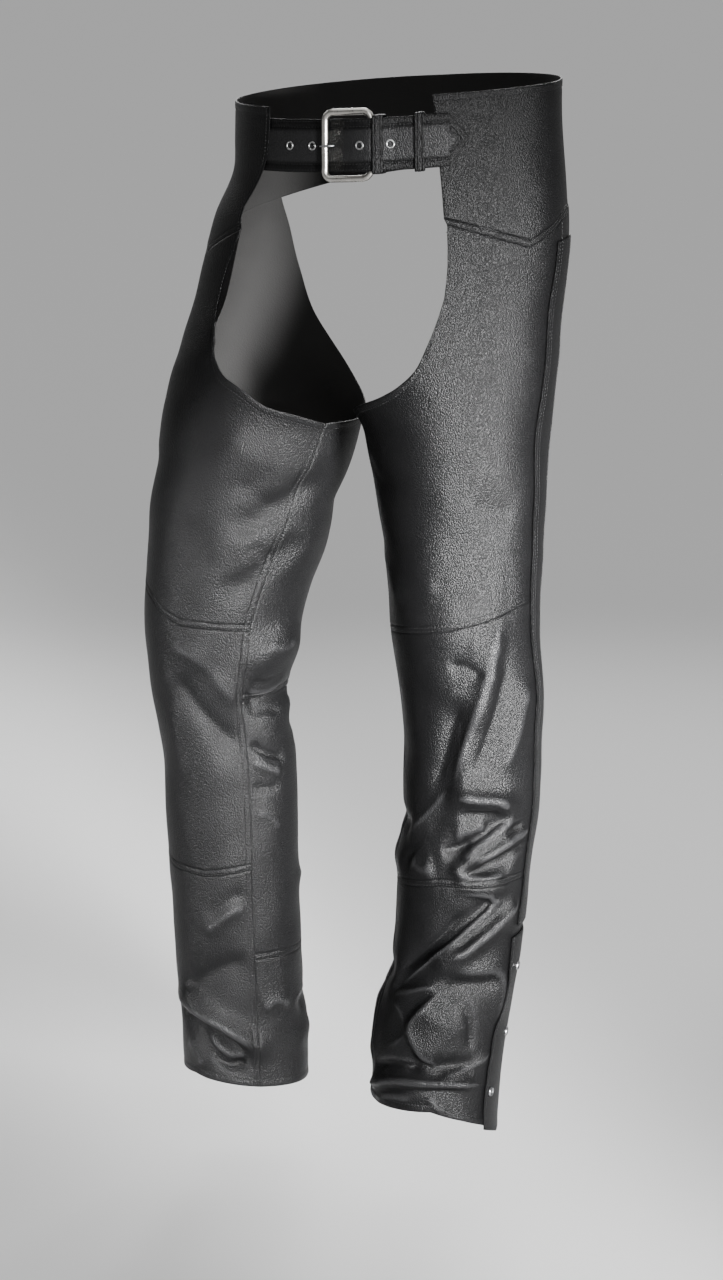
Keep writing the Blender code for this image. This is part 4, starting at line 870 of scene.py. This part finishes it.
BELT_DEGREE = 0.00304
TONGUE = (
    # angle, distance out from the yoke's outer face
    (-42.0, -0.0038), (-34.0, -0.0038), (-26.0, -0.0034), (-16.0, -0.0035), (-8.6, -0.0035),
    (-6.0, -0.0016), (-3.6, 0.0014), (-0.8, 0.0050), (3.0, 0.0072), (7.7, 0.0080),
    (11.0, 0.0062), (14.2, 0.0038), (18.0, 0.0022), (30.0, 0.0020), (41.5, 0.0020),
)
TONGUE_THICKNESS = 0.0030
BELT_HALF, TONGUE_SHOULDER, TIP_HALF = 0.0262, 34.5, 0.0014
HOLES = 5
FIRST_HOLE, HOLE_STEP, USED_HOLE = -23.6, 9.55, 2
HOLE_RADIUS, USED_HOLE_RADIUS = 0.0031, 0.0042
FRAME_ROD, LAY_GAP = 0.0034, 0.0003
BAR_LEFT, BAR_LEFT_OUT, BAR_RIGHT, BAR_RIGHT_OUT = -8.4, 0.0018, 7.7, -0.0003
BORDER = 0.0078


def belt_place(angle, height, out):
    """A place on the belt: a point of the hips moved out from the yoke's outer face."""
    points, normal = with_normals(hip_ring, angle, height)
    return points + normal * np.asarray(out)[..., None]


def strap_line(rows, count):
    """A strap's middle line in its own section, metres along and out, with its normals there."""
    line = smooth_path(rows, np.linspace(0, 1, count)) * (BELT_DEGREE, 1.0)
    tangent = np.gradient(line, axis=0)
    tangent /= np.linalg.norm(tangent, axis=1, keepdims=True)
    return line, np.stack([-tangent[:, 1], tangent[:, 0]], axis=-1)


def strap_faces(line, normal, height, outer, inner):
    """The outer and inner grid of a strap whose faces stand off its middle line by the given amounts."""
    grids = []
    for off in (outer, -inner):
        along = line[:, None, 0] + normal[:, None, 0] * off
        out = line[:, None, 1] + normal[:, None, 1] * off
        grids.append(belt_place(along / BELT_DEGREE, height, out))
    return grids


def belt_profile(d):
    """The belt's face above its flat border: rounded edges, a sunk row of stitches, then the padded middle."""
    edge = -0.0009 * np.exp(-((d / 0.0010) ** 2))
    groove = -0.0007 * np.exp(-(((d - BORDER) / 0.0010) ** 2)) - 0.0003 * np.exp(-(((d - 0.0022) / 0.0006) ** 2))
    pad = np.clip((d - BORDER) / 0.0050, 0, 1)
    return edge + groove + 0.0010 * pad * pad * (3 - 2 * pad)


line, normal = strap_line(TONGUE, 340)
along = line[:, 0] / BELT_DEGREE
half = np.interp(along, (TONGUE_SHOULDER, along.max()), (BELT_HALF, TIP_HALF))
across = spaced(2 * BELT_HALF, 0.0022) * 2 - 1
height = half[:, None] * across
slope = np.where(along > TONGUE_SHOULDER, 0.62, 1.0)[:, None]
from_edge = (half[:, None] - np.abs(height)) * slope
from_end = (line[-1, 0] - line[:, 0])[:, None] * np.ones_like(height)
profile = belt_profile(np.minimum(from_edge, from_end + 0.001))
outer, inner = strap_faces(line, normal, height, TONGUE_THICKNESS / 2 + profile, TONGUE_THICKNESS / 2 - 0.0003 * np.exp(-((from_edge / 0.001) ** 2)))
# The padded middle gets a painted highlight in the leather's colour, and the border and the stitch grooves none.
tongue = wall_piece("belt_tongue_leather", outer, inner, np.clip(profile / 0.0012, -1, 1))
normals = outer - inner
normals /= np.linalg.norm(normals, axis=-1, keepdims=True)
for place in (0.0022, BORDER):
    for sign in (1, -1):
        keep = from_edge.max(axis=1) > place
        rows = []
        for grid in (outer, normals):
            wanted = sign * (half - place / slope[:, 0])
            k = np.clip((height < wanted[:, None]).sum(axis=1), 1, height.shape[1] - 1)[:, None]
            low, high = (np.take_along_axis(height, k - step, axis=1) for step in (1, 0))
            t = np.clip((wanted[:, None] - low) / (high - low), 0, 1)[..., None]
            before, after = (np.take_along_axis(grid, (k - step)[..., None], axis=1) for step in (1, 0))
            rows.append((before * (1 - t) + after * t)[:, 0])
        stitches["belt"].append(np.concatenate(rows, axis=1)[keep])

face_out = np.interp(np.arange(HOLES) * HOLE_STEP + FIRST_HOLE, along, line[:, 1])
hole_places = []
for k in range(HOLES):
    angle = FIRST_HOLE + k * HOLE_STEP
    lean = [np.interp(angle, along, normal[:, i]) for i in range(2)]
    middle = belt_place(np.array(angle), np.array(0.0), np.array(face_out[k]))
    ahead = belt_place(np.array(angle + lean[0] * 0.01 / BELT_DEGREE), np.array(0.0), np.array(face_out[k] + lean[1] * 0.01))
    out = (ahead - middle) / np.linalg.norm(ahead - middle)
    side_way = np.cross(out, (0.0, 0.0, 1.0))
    side_way /= np.linalg.norm(side_way)
    hole_places.append((middle, np.stack([side_way, np.cross(out, side_way), out])))


def lathe(profile, axes, middle, steps=32, closed=True):
    """A profile of radius and height turned round an axis, as points and quads."""
    profile = np.array(profile)
    turn = np.linspace(0, 2 * math.pi, steps, endpoint=False)
    local = np.stack([
        profile[None, :, 0] * np.cos(turn)[:, None],
        profile[None, :, 0] * np.sin(turn)[:, None],
        np.repeat(profile[None, :, 1], steps, axis=0),
    ], axis=-1)
    index = np.arange(steps * len(profile)).reshape(steps, len(profile))
    index = np.vstack([index, index[:1]])
    if closed:
        index = np.hstack([index, index[:, :1]])
    faces = np.stack([index[:-1, :-1], index[:-1, 1:], index[1:, 1:], index[1:, :-1]], axis=-1).reshape(-1, 4)
    points = local.reshape(-1, 3) @ axes + middle
    return points, faces


def outward(points, faces):
    """Turns a closed mesh's faces round if its volume comes out negative."""
    corners = points[np.asarray(faces)[:, :3]]
    volume = (corners[:, 0] * np.cross(corners[:, 1], corners[:, 2])).sum()
    return faces if volume > 0 else faces[:, ::-1]


cutters = []
for k, (middle, axes) in enumerate(hole_places):
    radius = USED_HOLE_RADIUS if k == USED_HOLE else HOLE_RADIUS
    profile = ((radius, -0.006), (radius, 0.006), (1e-5, 0.006), (1e-5, -0.006))
    points, faces = lathe(profile, axes, middle, 24)
    mesh = bpy.data.meshes.new(f"hole_{k}")
    mesh.from_pydata(points.tolist(), [], outward(points, faces).tolist())
    cutter = bpy.data.objects.new(f"hole_{k}", mesh)
    bpy.context.scene.collection.objects.link(cutter)
    punched = tongue.modifiers.new(f"hole_{k}", "BOOLEAN")
    punched.operation, punched.object = "DIFFERENCE", cutter
    cutters.append(cutter)
bpy.context.view_layer.update()
holed = bpy.data.meshes.new_from_object(tongue.evaluated_get(bpy.context.evaluated_depsgraph_get()))
tongue.modifiers.clear()
tongue.data = holed
holed.name = "belt_tongue_leather"
for cutter in cutters:
    bpy.data.objects.remove(cutter)
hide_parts("belt_tongue")

CHAPE_THICKNESS, CHAPE_HALF, CHAPE_SPLIT, PRONG_SLOT = 0.0018, 0.0235, 0.0005, 0.0024
CHAPE_UNDER = ((38.0, -0.0031), (30.0, -0.0031), (26.0, -0.0044), (21.0, -0.0045), (14.0, -0.0045))
CHAPE_OVER = ((11.0, 0.0020), (13.5, -0.0004), (15.5, -0.0013), (17.5, -0.0016), (21.0, -0.0016))
radius = FRAME_ROD + LAY_GAP + CHAPE_THICKNESS / 2
turn = np.linspace(-math.pi / 2, -3 * math.pi / 2, 25)
bend = np.array([BAR_RIGHT * BELT_DEGREE, BAR_RIGHT_OUT]) + radius * np.stack([np.cos(turn), np.sin(turn)], axis=-1)
line = np.vstack([np.array(CHAPE_UNDER) * (BELT_DEGREE, 1.0), bend, np.array(CHAPE_OVER) * (BELT_DEGREE, 1.0)])
tangent = np.gradient(line, axis=0)
tangent /= np.linalg.norm(tangent, axis=1, keepdims=True)
normal = np.stack([-tangent[:, 1], tangent[:, 0]], axis=-1)
for part, sign in (("upper", 1), ("lower", -1)):
    slot_edge = np.full(len(line), CHAPE_SPLIT)
    slot_edge[len(CHAPE_UNDER) - 1 : len(CHAPE_UNDER) + len(bend) + 1] = PRONG_SLOT
    share = spaced(CHAPE_HALF, 0.003)
    height = sign * (slot_edge[:, None] + (CHAPE_HALF - slot_edge[:, None]) * share)
    edge = -0.0003 * np.exp(-(((1 - np.abs(2 * share - 1)) / 0.08) ** 2))
    outer, inner = strap_faces(line, normal, height, CHAPE_THICKNESS / 2 + edge, CHAPE_THICKNESS / 2 + edge)
    chape = wall_piece(f"belt_chape_{part}_leather", outer, inner)
    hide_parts(f"belt_chape_{part}")

KEEPER_WIDTH, KEEPER_THICKNESS, KEEPER_LIFT, KEEPER_UNDER, KEEPER_HALF = 0.0098, 0.0018, 0.0004, -0.0062, 0.0274
line, _ = strap_line(TONGUE, 340)
for name, at in (("keeper_by_buckle", 10.8), ("keeper_on_tip", 24.3)):
    share = spaced(KEEPER_WIDTH * 2.2, 0.0012)
    angle = at + (share * 2 - 1) * KEEPER_WIDTH / 2 / BELT_DEGREE
    over = np.interp(angle, line[:, 0] / BELT_DEGREE, line[:, 1]) + TONGUE_THICKNESS / 2 + KEEPER_LIFT + 0.0009
    turn = np.linspace(0, 2 * math.pi, 97)[:-1][:, None]
    square = lambda wave: np.sign(wave) * np.abs(wave) ** 0.16
    distance = (1 - np.abs(2 * share - 1)) * KEEPER_WIDTH / 2
    seat = -0.0005 * np.exp(-((distance / 0.0008) ** 2)) - 0.0005 * np.exp(-(((distance - 0.0024) / 0.0006) ** 2))
    faces = []
    for grow in (KEEPER_THICKNESS, 0.0):
        rise = grow + (seat if grow else 0.0) * np.ones_like(share)
        middle, tall = (over + KEEPER_UNDER) / 2, (over - KEEPER_UNDER) / 2 + rise
        out = middle + tall * square(np.sin(turn))
        height = (KEEPER_HALF + rise) * square(np.cos(turn))
        faces.append(belt_place(np.repeat(angle[None], len(turn), axis=0), height, out))
    # The keeper's face gets a painted highlight in the leather's colour, left out of its rolled edges and grooves,
    # which so stay darker as painted shade.
    keeper = wall_piece(f"{name}_leather", faces[0], faces[1], np.repeat(np.clip(seat / 0.0006 + 0.4, -1, 1)[None], len(turn), axis=0), ring=True)
    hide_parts(name)


# The stitching. Every seam has rows of black bonded thread, about seven stitches to the inch. Each stitch is a
# short rounded bar that dips into the leather at both ends.

STITCH_PITCH, STITCH_LENGTH, THREAD = 0.0036, 0.0027, 0.00038


def thread_finish():
    made, shade, shader = new_finish("black_thread", Specular_IOR_Level=0.3)
    place = shade.node("ShaderNodeTexCoord", output=3)
    twist = shade.node("ShaderNodeTexNoise", (), {"Vector": place, "Scale": 1500.0, "Detail": 1.0})
    connect(shade, shader, Base_Color=twist.blend((0.0015, 0.0015, 0.0016), (0.006, 0.006, 0.0062)), Roughness=0.42 + 0.2 * twist)
    return made


def stitch_mesh(name, rows, material):
    """Stitches set along the rows at an even pitch. A stitch is four rings of four points about the row's own
    line, each thinner and lower towards its ends."""
    rings = np.array([(-0.5, 0.45, -0.9), (-0.24, 1.0, 0.25), (0.24, 1.0, 0.25), (0.5, 0.45, -0.9)])
    corner = np.array([(1.0, 0.0), (0.0, 1.0), (-1.0, 0.0), (0.0, -1.0)])
    local = np.stack([
        np.repeat(rings[:, :1] * STITCH_LENGTH, 4, axis=1),
        rings[:, 1:2] * corner[:, 0] * THREAD,
        rings[:, 1:2] * corner[:, 1] * THREAD + rings[:, 2:] * THREAD,
    ], axis=-1).reshape(-1, 3)
    index = np.arange(16).reshape(4, 4)
    wrap = np.roll(index, -1, axis=1)
    faces = np.stack([index[:-1], index[1:], wrap[1:], wrap[:-1]], axis=-1).reshape(-1, 4)
    faces = np.vstack([faces, index[0], index[-1, ::-1]])
    places = []
    for row in rows:
        points, out = row[:, :3], row[:, 3:]
        length = np.concatenate([[0.0], np.cumsum(np.linalg.norm(np.diff(points, axis=0), axis=1))])
        at = np.arange(STITCH_PITCH / 2, length[-1] - STITCH_PITCH / 2, STITCH_PITCH)
        read = lambda values, where: np.stack([np.interp(where, length, values[:, k]) for k in range(3)], axis=-1)
        run = read(points, at + 0.001) - read(points, at - 0.001)
        places.append(np.stack([read(points, at), run, read(out, at)], axis=1))
    places = np.concatenate(places)
    middle, run, out = places[:, 0], places[:, 1], places[:, 2]
    run = run / np.linalg.norm(run, axis=1, keepdims=True)
    beside = np.cross(out, run)
    beside /= np.linalg.norm(beside, axis=1, keepdims=True)
    axes = np.stack([run, beside, np.cross(run, beside)], axis=1)
    points = (local @ axes + middle[:, None]).reshape(-1, 3)
    every = (faces[None] + 16 * np.arange(len(middle))[:, None, None]).reshape(-1, 4)
    corners = points[faces[:, :3]]
    if (corners[:, 0] - middle[0] == 0).all() or (
        (corners[:, 0] - middle[0]) * np.cross(corners[:, 1] - middle[0], corners[:, 2] - middle[0])
    ).sum() < 0:
        every = every[:, ::-1]
    return add_piece(name, points, every, [material], sharp=180.0)


thread = thread_finish()
for group, rows in stitches.items():
    piece = stitch_mesh(f"stitching_{group}", rows, thread)


# The buckle. A frame bent from 7 mm steel rod, with round corners, in a brushed and slightly tarnished silver
# finish, and a prong that hooks round its right bar and lies in the used hole.

FRAME_CORNER, FRAME_HALF_HEIGHT, PRONG_ROD = 0.0085, 0.0330, 0.0012
PRONG_SHANK = (
    (4.5, 0.0028), (1.2, -0.0010), (-1.4, -0.0024), (-4.6, 0.0008), (-6.4, 0.0046), (-8.4, 0.0068), (-9.4, 0.0066),
)


def silver(name, light, dark, roughness):
    made, shade, shader = new_finish(name, Metallic=1.0)
    place = shade.node("ShaderNodeTexCoord", output=3)
    brushed = shade.node("ShaderNodeMapping", (), {"Vector": place, "Scale": (1.0, 1.0, 0.12)})
    hair = shade.node("ShaderNodeTexNoise", (), {"Vector": brushed, "Scale": 1400.0, "Detail": 2.0})
    tarnish = shade.node("ShaderNodeTexNoise", (), {"Vector": place, "Scale": 120.0, "Detail": 3.0})
    connect(
        shade,
        shader,
        Base_Color=(0.35 * hair + 0.65 * tarnish).blend(dark, light),
        Roughness=roughness + 0.18 * (hair - 0.5) + 0.16 * (tarnish - 0.5),
        Normal=shade.node("ShaderNodeBump", (), {"Strength": 0.12, "Distance": 0.0002, "Height": hair}),
    )
    return made


def rod_mesh(path, radius, sides, closed):
    """A round rod along a path: rings set square to the path's own direction, turned with it step by step."""
    after = np.roll(path, -1, axis=0) if closed else np.vstack([path[1:], 2 * path[-1] - path[-2]])
    before = np.roll(path, 1, axis=0) if closed else np.vstack([2 * path[0] - path[1], path[:-1]])
    run = after - before
    run /= np.linalg.norm(run, axis=1, keepdims=True)
    out = np.array([0.05, -1.0, 0.02]) - run * (run @ np.array([0.05, -1.0, 0.02]))[:, None]
    out /= np.linalg.norm(out, axis=1, keepdims=True)
    beside = np.cross(run, out)
    turn = np.linspace(0, 2 * math.pi, sides, endpoint=False)
    radius = np.broadcast_to(radius, len(path))[:, None, None]
    grid = path[:, None] + radius * (np.cos(turn)[None, :, None] * out[:, None] + np.sin(turn)[None, :, None] * beside[:, None])
    index = np.arange(len(path) * sides).reshape(len(path), sides)
    index = np.hstack([index, index[:, :1]])
    if closed:
        index = np.vstack([index, index[:1]])
    faces = np.stack([index[:-1, :-1], index[:-1, 1:], index[1:, 1:], index[1:, :-1]], axis=-1).reshape(-1, 4).tolist()
    if not closed:
        faces += [index[0, :-1].tolist()[::-1], index[-1, :-1].tolist()]
    return grid.reshape(-1, 3), faces


def outward_faces(points, faces):
    volume = sum(
        float(np.dot(points[f[0]], np.cross(points[f[k]], points[f[k + 1]]))) for f in faces for k in range(1, len(f) - 1)
    )
    return faces if volume > 0 else [f[::-1] for f in faces]


dark_nickel = silver("dark_nickel", (0.42, 0.42, 0.43), (0.12, 0.12, 0.125), 0.30)
buckle_silver = silver("brushed_silver", (0.74, 0.72, 0.68), (0.40, 0.385, 0.36), 0.30)
half_width = (BAR_RIGHT - BAR_LEFT) / 2 * BELT_DEGREE
ring = []
for quarter, (x, z) in enumerate(((1, 1), (-1, 1), (-1, -1), (1, -1))):
    turn = np.linspace(0, math.pi / 2, 11) + quarter * math.pi / 2
    centre = np.array([x * (half_width - FRAME_CORNER), z * (FRAME_HALF_HEIGHT - FRAME_CORNER)])
    ring.append(centre + FRAME_CORNER * np.stack([np.cos(turn), np.sin(turn)], axis=-1))
arcs = ring
ring = []
for arc, following in zip(arcs, arcs[1:] + arcs[:1]):
    ring += [arc, np.linspace(arc[-1], following[0], 14)[1:-1]]
ring = np.vstack(ring)
angle = (BAR_LEFT + BAR_RIGHT) / 2 + ring[:, 0] / BELT_DEGREE
out = BAR_LEFT_OUT + (BAR_RIGHT_OUT - BAR_LEFT_OUT) * (ring[:, 0] + half_width) / (2 * half_width)
points, faces = rod_mesh(belt_place(angle, ring[:, 1], out), FRAME_ROD, 20, True)
buckle = add_piece("buckle_frame_rod", points, outward_faces(points, faces), [buckle_silver], sharp=180.0)
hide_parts("buckle_frame")

hook = FRAME_ROD + LAY_GAP + PRONG_ROD
turn = np.radians(np.linspace(-165.0, 95.0, 31))
hook_line = np.stack([BAR_RIGHT + hook * np.cos(turn) / BELT_DEGREE, BAR_RIGHT_OUT + hook * np.sin(turn)], axis=-1)
shank = smooth_path([hook_line[-1], *PRONG_SHANK], np.linspace(0, 1, 48))[1:]
prong_line = np.vstack([hook_line, shank])
taper = np.interp(np.arange(len(prong_line)), (0, len(prong_line) - 6, len(prong_line) - 1), (1.0, 1.0, 0.72))
points, faces = rod_mesh(belt_place(prong_line[:, 0], np.zeros(len(prong_line)), prong_line[:, 1]), PRONG_ROD * taper, 12, False)
prong = add_piece("buckle_prong_rod", points, outward_faces(points, faces), [dark_nickel], sharp=60.0)
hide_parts("buckle_prong")


# The eyelets and snaps. Nickel eyelets line four of the belt's holes, and the snaps' caps are dark nickel, each a
# low dome in a raised ring, pressed through the flap at the foot of a leg.

EYELET_RIM = 0.0046
nickel = silver("worn_nickel", (0.50, 0.50, 0.50), (0.26, 0.26, 0.26), 0.28)
face = TONGUE_THICKNESS / 2 + 0.0010 + LAY_GAP
turn = np.linspace(math.pi, 0, 9)
bead = np.stack([0.0037 + 0.0009 * np.cos(turn), face + 0.0008 * np.sin(turn)], axis=-1)
eyelet_profile = np.vstack([bead, [(EYELET_RIM - 0.0002, face - 0.0004), (0.0030, face - 0.0004), (0.0030, -face), (0.0026, -face), (0.0026, face - 0.0004)]])
for k, (middle, axes) in enumerate(hole_places):
    if k == USED_HOLE:
        continue
    points, faces = lathe(eyelet_profile, axes, middle, 36)
    eyelet = add_piece(f"eyelet_{k + 1}_ring", points, outward(points, faces), [nickel], sharp=60.0)
    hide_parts(f"eyelet_{k + 1}")

SNAPS = ((80.0, -0.860), (84.0, -0.934), (66.0, -0.993))
snap_profile = (
    (1e-5, 0.0016), (0.0010, 0.0016), (0.0018, 0.0012), (0.0024, 0.0009), (0.0029, 0.0013), (0.0036, 0.0019),
    (0.0042, 0.0018), (0.0047, 0.0011), (0.0048, 0.0), (1e-5, 0.0),
)
for side, word in SIDES.items():
    for k, (angle, height) in enumerate(SNAPS):
        place, way, crease, _ = leg_surface(side)(np.array(angle), np.array(height))
        middle = place + way * (LEATHER + FLAP_LAY + 0.0002 + crease)
        side_way = np.cross(way, (0.0, 0.0, 1.0))
        side_way /= np.linalg.norm(side_way)
        points, faces = lathe(snap_profile, np.stack([side_way, np.cross(way, side_way), way]), middle, 32)
        snap = add_piece(f"snap_{word}_{k + 1}_cap", points, outward(points, faces), [dark_nickel], sharp=60.0)
        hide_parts(f"snap_{word}_{k + 1}")


# What each sheet was cut from. The flat size is the widest row and the longest column of the panel on the bare
# chart, without its creases, and the area is that of the panel itself.

for (name, side), panel in panels.items():
    width, length, area = flat_sizes[panel["name"]]
    word = SIDES[side]
    print("sheet", panel["name"], round(width, 3), round(length, 3), round(area, 4))


# The view. The camera stands where the photograph's did, a little to the wearer's left and a little above the
# waist, over a pale floor, with soft lights round it.

AZIMUTH, ELEVATION, DISTANCE, FOCAL = math.radians(24.0), math.radians(12.0), 3.6, 3528.0
camera_data = bpy.data.cameras.new("camera")
camera_data.sensor_width = 36.0
camera_data.lens = 36.0 * FOCAL / 1280
camera = bpy.data.objects.new("camera", camera_data)
bpy.context.scene.collection.objects.link(camera)
camera.location = (1.4434, -3.3311, 0.2365)
back = Vector((
    math.sin(AZIMUTH) * math.cos(ELEVATION), -math.cos(AZIMUTH) * math.cos(ELEVATION), math.sin(ELEVATION)
))
camera.rotation_euler = back.to_track_quat("Z", "Y").to_euler()
bpy.context.scene.camera = camera

FLOOR, FLOOR_REACH = -1.15, 400.0
floor_mesh = bpy.data.meshes.new("studio_floor")
corners = FLOOR_REACH * np.array([(-1, -1), (1, -1), (1, 1), (-1, 1)])
floor_mesh.from_pydata([(x, y, FLOOR) for x, y in corners], [], [(0, 1, 2, 3)])
floor_mesh.materials.append(new_finish("pale_floor", Base_Color=(0.80, 0.80, 0.80, 1.0), Roughness=0.9)[0])
floor = bpy.data.objects.new("studio_floor", floor_mesh)
bpy.context.scene.collection.objects.link(floor)

world = bpy.data.worlds.new("studio")
bpy.context.scene.world = world
world.use_nodes = True
world.node_tree.nodes["Background"].inputs["Color"].default_value = (1.0, 1.0, 1.0, 1.0)
world.node_tree.nodes["Background"].inputs["Strength"].default_value = 0.15


def studio_light(name, kind, place, aim, power, **shape):
    """A lamp at a place, turned to its aim and out of the camera's sight."""
    data = bpy.data.lights.new(name, kind)
    data.energy = power
    for setting, value in shape.items():
        setattr(data, setting, value)
    lamp = bpy.data.objects.new(name, data)
    lamp.location = place
    lamp.rotation_euler = (lamp.location - Vector(aim)).to_track_quat("Z", "Y").to_euler()
    lamp.visible_camera = False
    bpy.context.scene.collection.objects.link(lamp)


SOFT_BOXES = (
    # name, degrees round from the camera, height, distance, width and height of the panel, spread, watts, aim
    ("key", 29.0, -0.30, 2.2, 0.40, 0.60, 22.0, 14.5, (0.05, 0.0, -0.42)),
    ("low_key", 25.0, -0.66, 2.2, 0.5, 0.9, 16.0, 11.5, (0.15, -0.04, -0.94)),
    ("front", 8.0, 0.80, 2.8, 0.5, 0.9, 60.0, 3.4, (0.0, 0.0, -0.4)),
    ("side", -44.0, -0.75, 1.5, 0.25, 0.8, 16.0, 2.6, (-0.20, -0.06, -0.74)),
    ("left_edge", 152.0, 1.10, 3.0, 0.5, 1.2, 120.0, 6.0, (0.0, 0.0, -0.5)),
    ("back", 178.0, 1.30, 3.0, 0.7, 1.2, 120.0, 16.0, (0.0, 0.0, -0.5)),
    ("right_edge", -150.0, 1.10, 3.0, 0.5, 1.2, 120.0, 6.0, (0.0, 0.0, -0.5)),
)
for name, turn, rise, distance, wide, tall, spread, watts, aim in SOFT_BOXES:
    bearing = AZIMUTH + math.radians(turn)
    place = (distance * math.sin(bearing), -distance * math.cos(bearing), rise)
    studio_light(
        name, "AREA", place, aim, watts, shape="RECTANGLE", size=wide, size_y=tall, spread=math.radians(spread)
    )
studio_light("overhead", "SUN", (0.0, 0.0, 6.0), (0.0, 0.0, 0.0), 1.30, angle=math.radians(70.0))
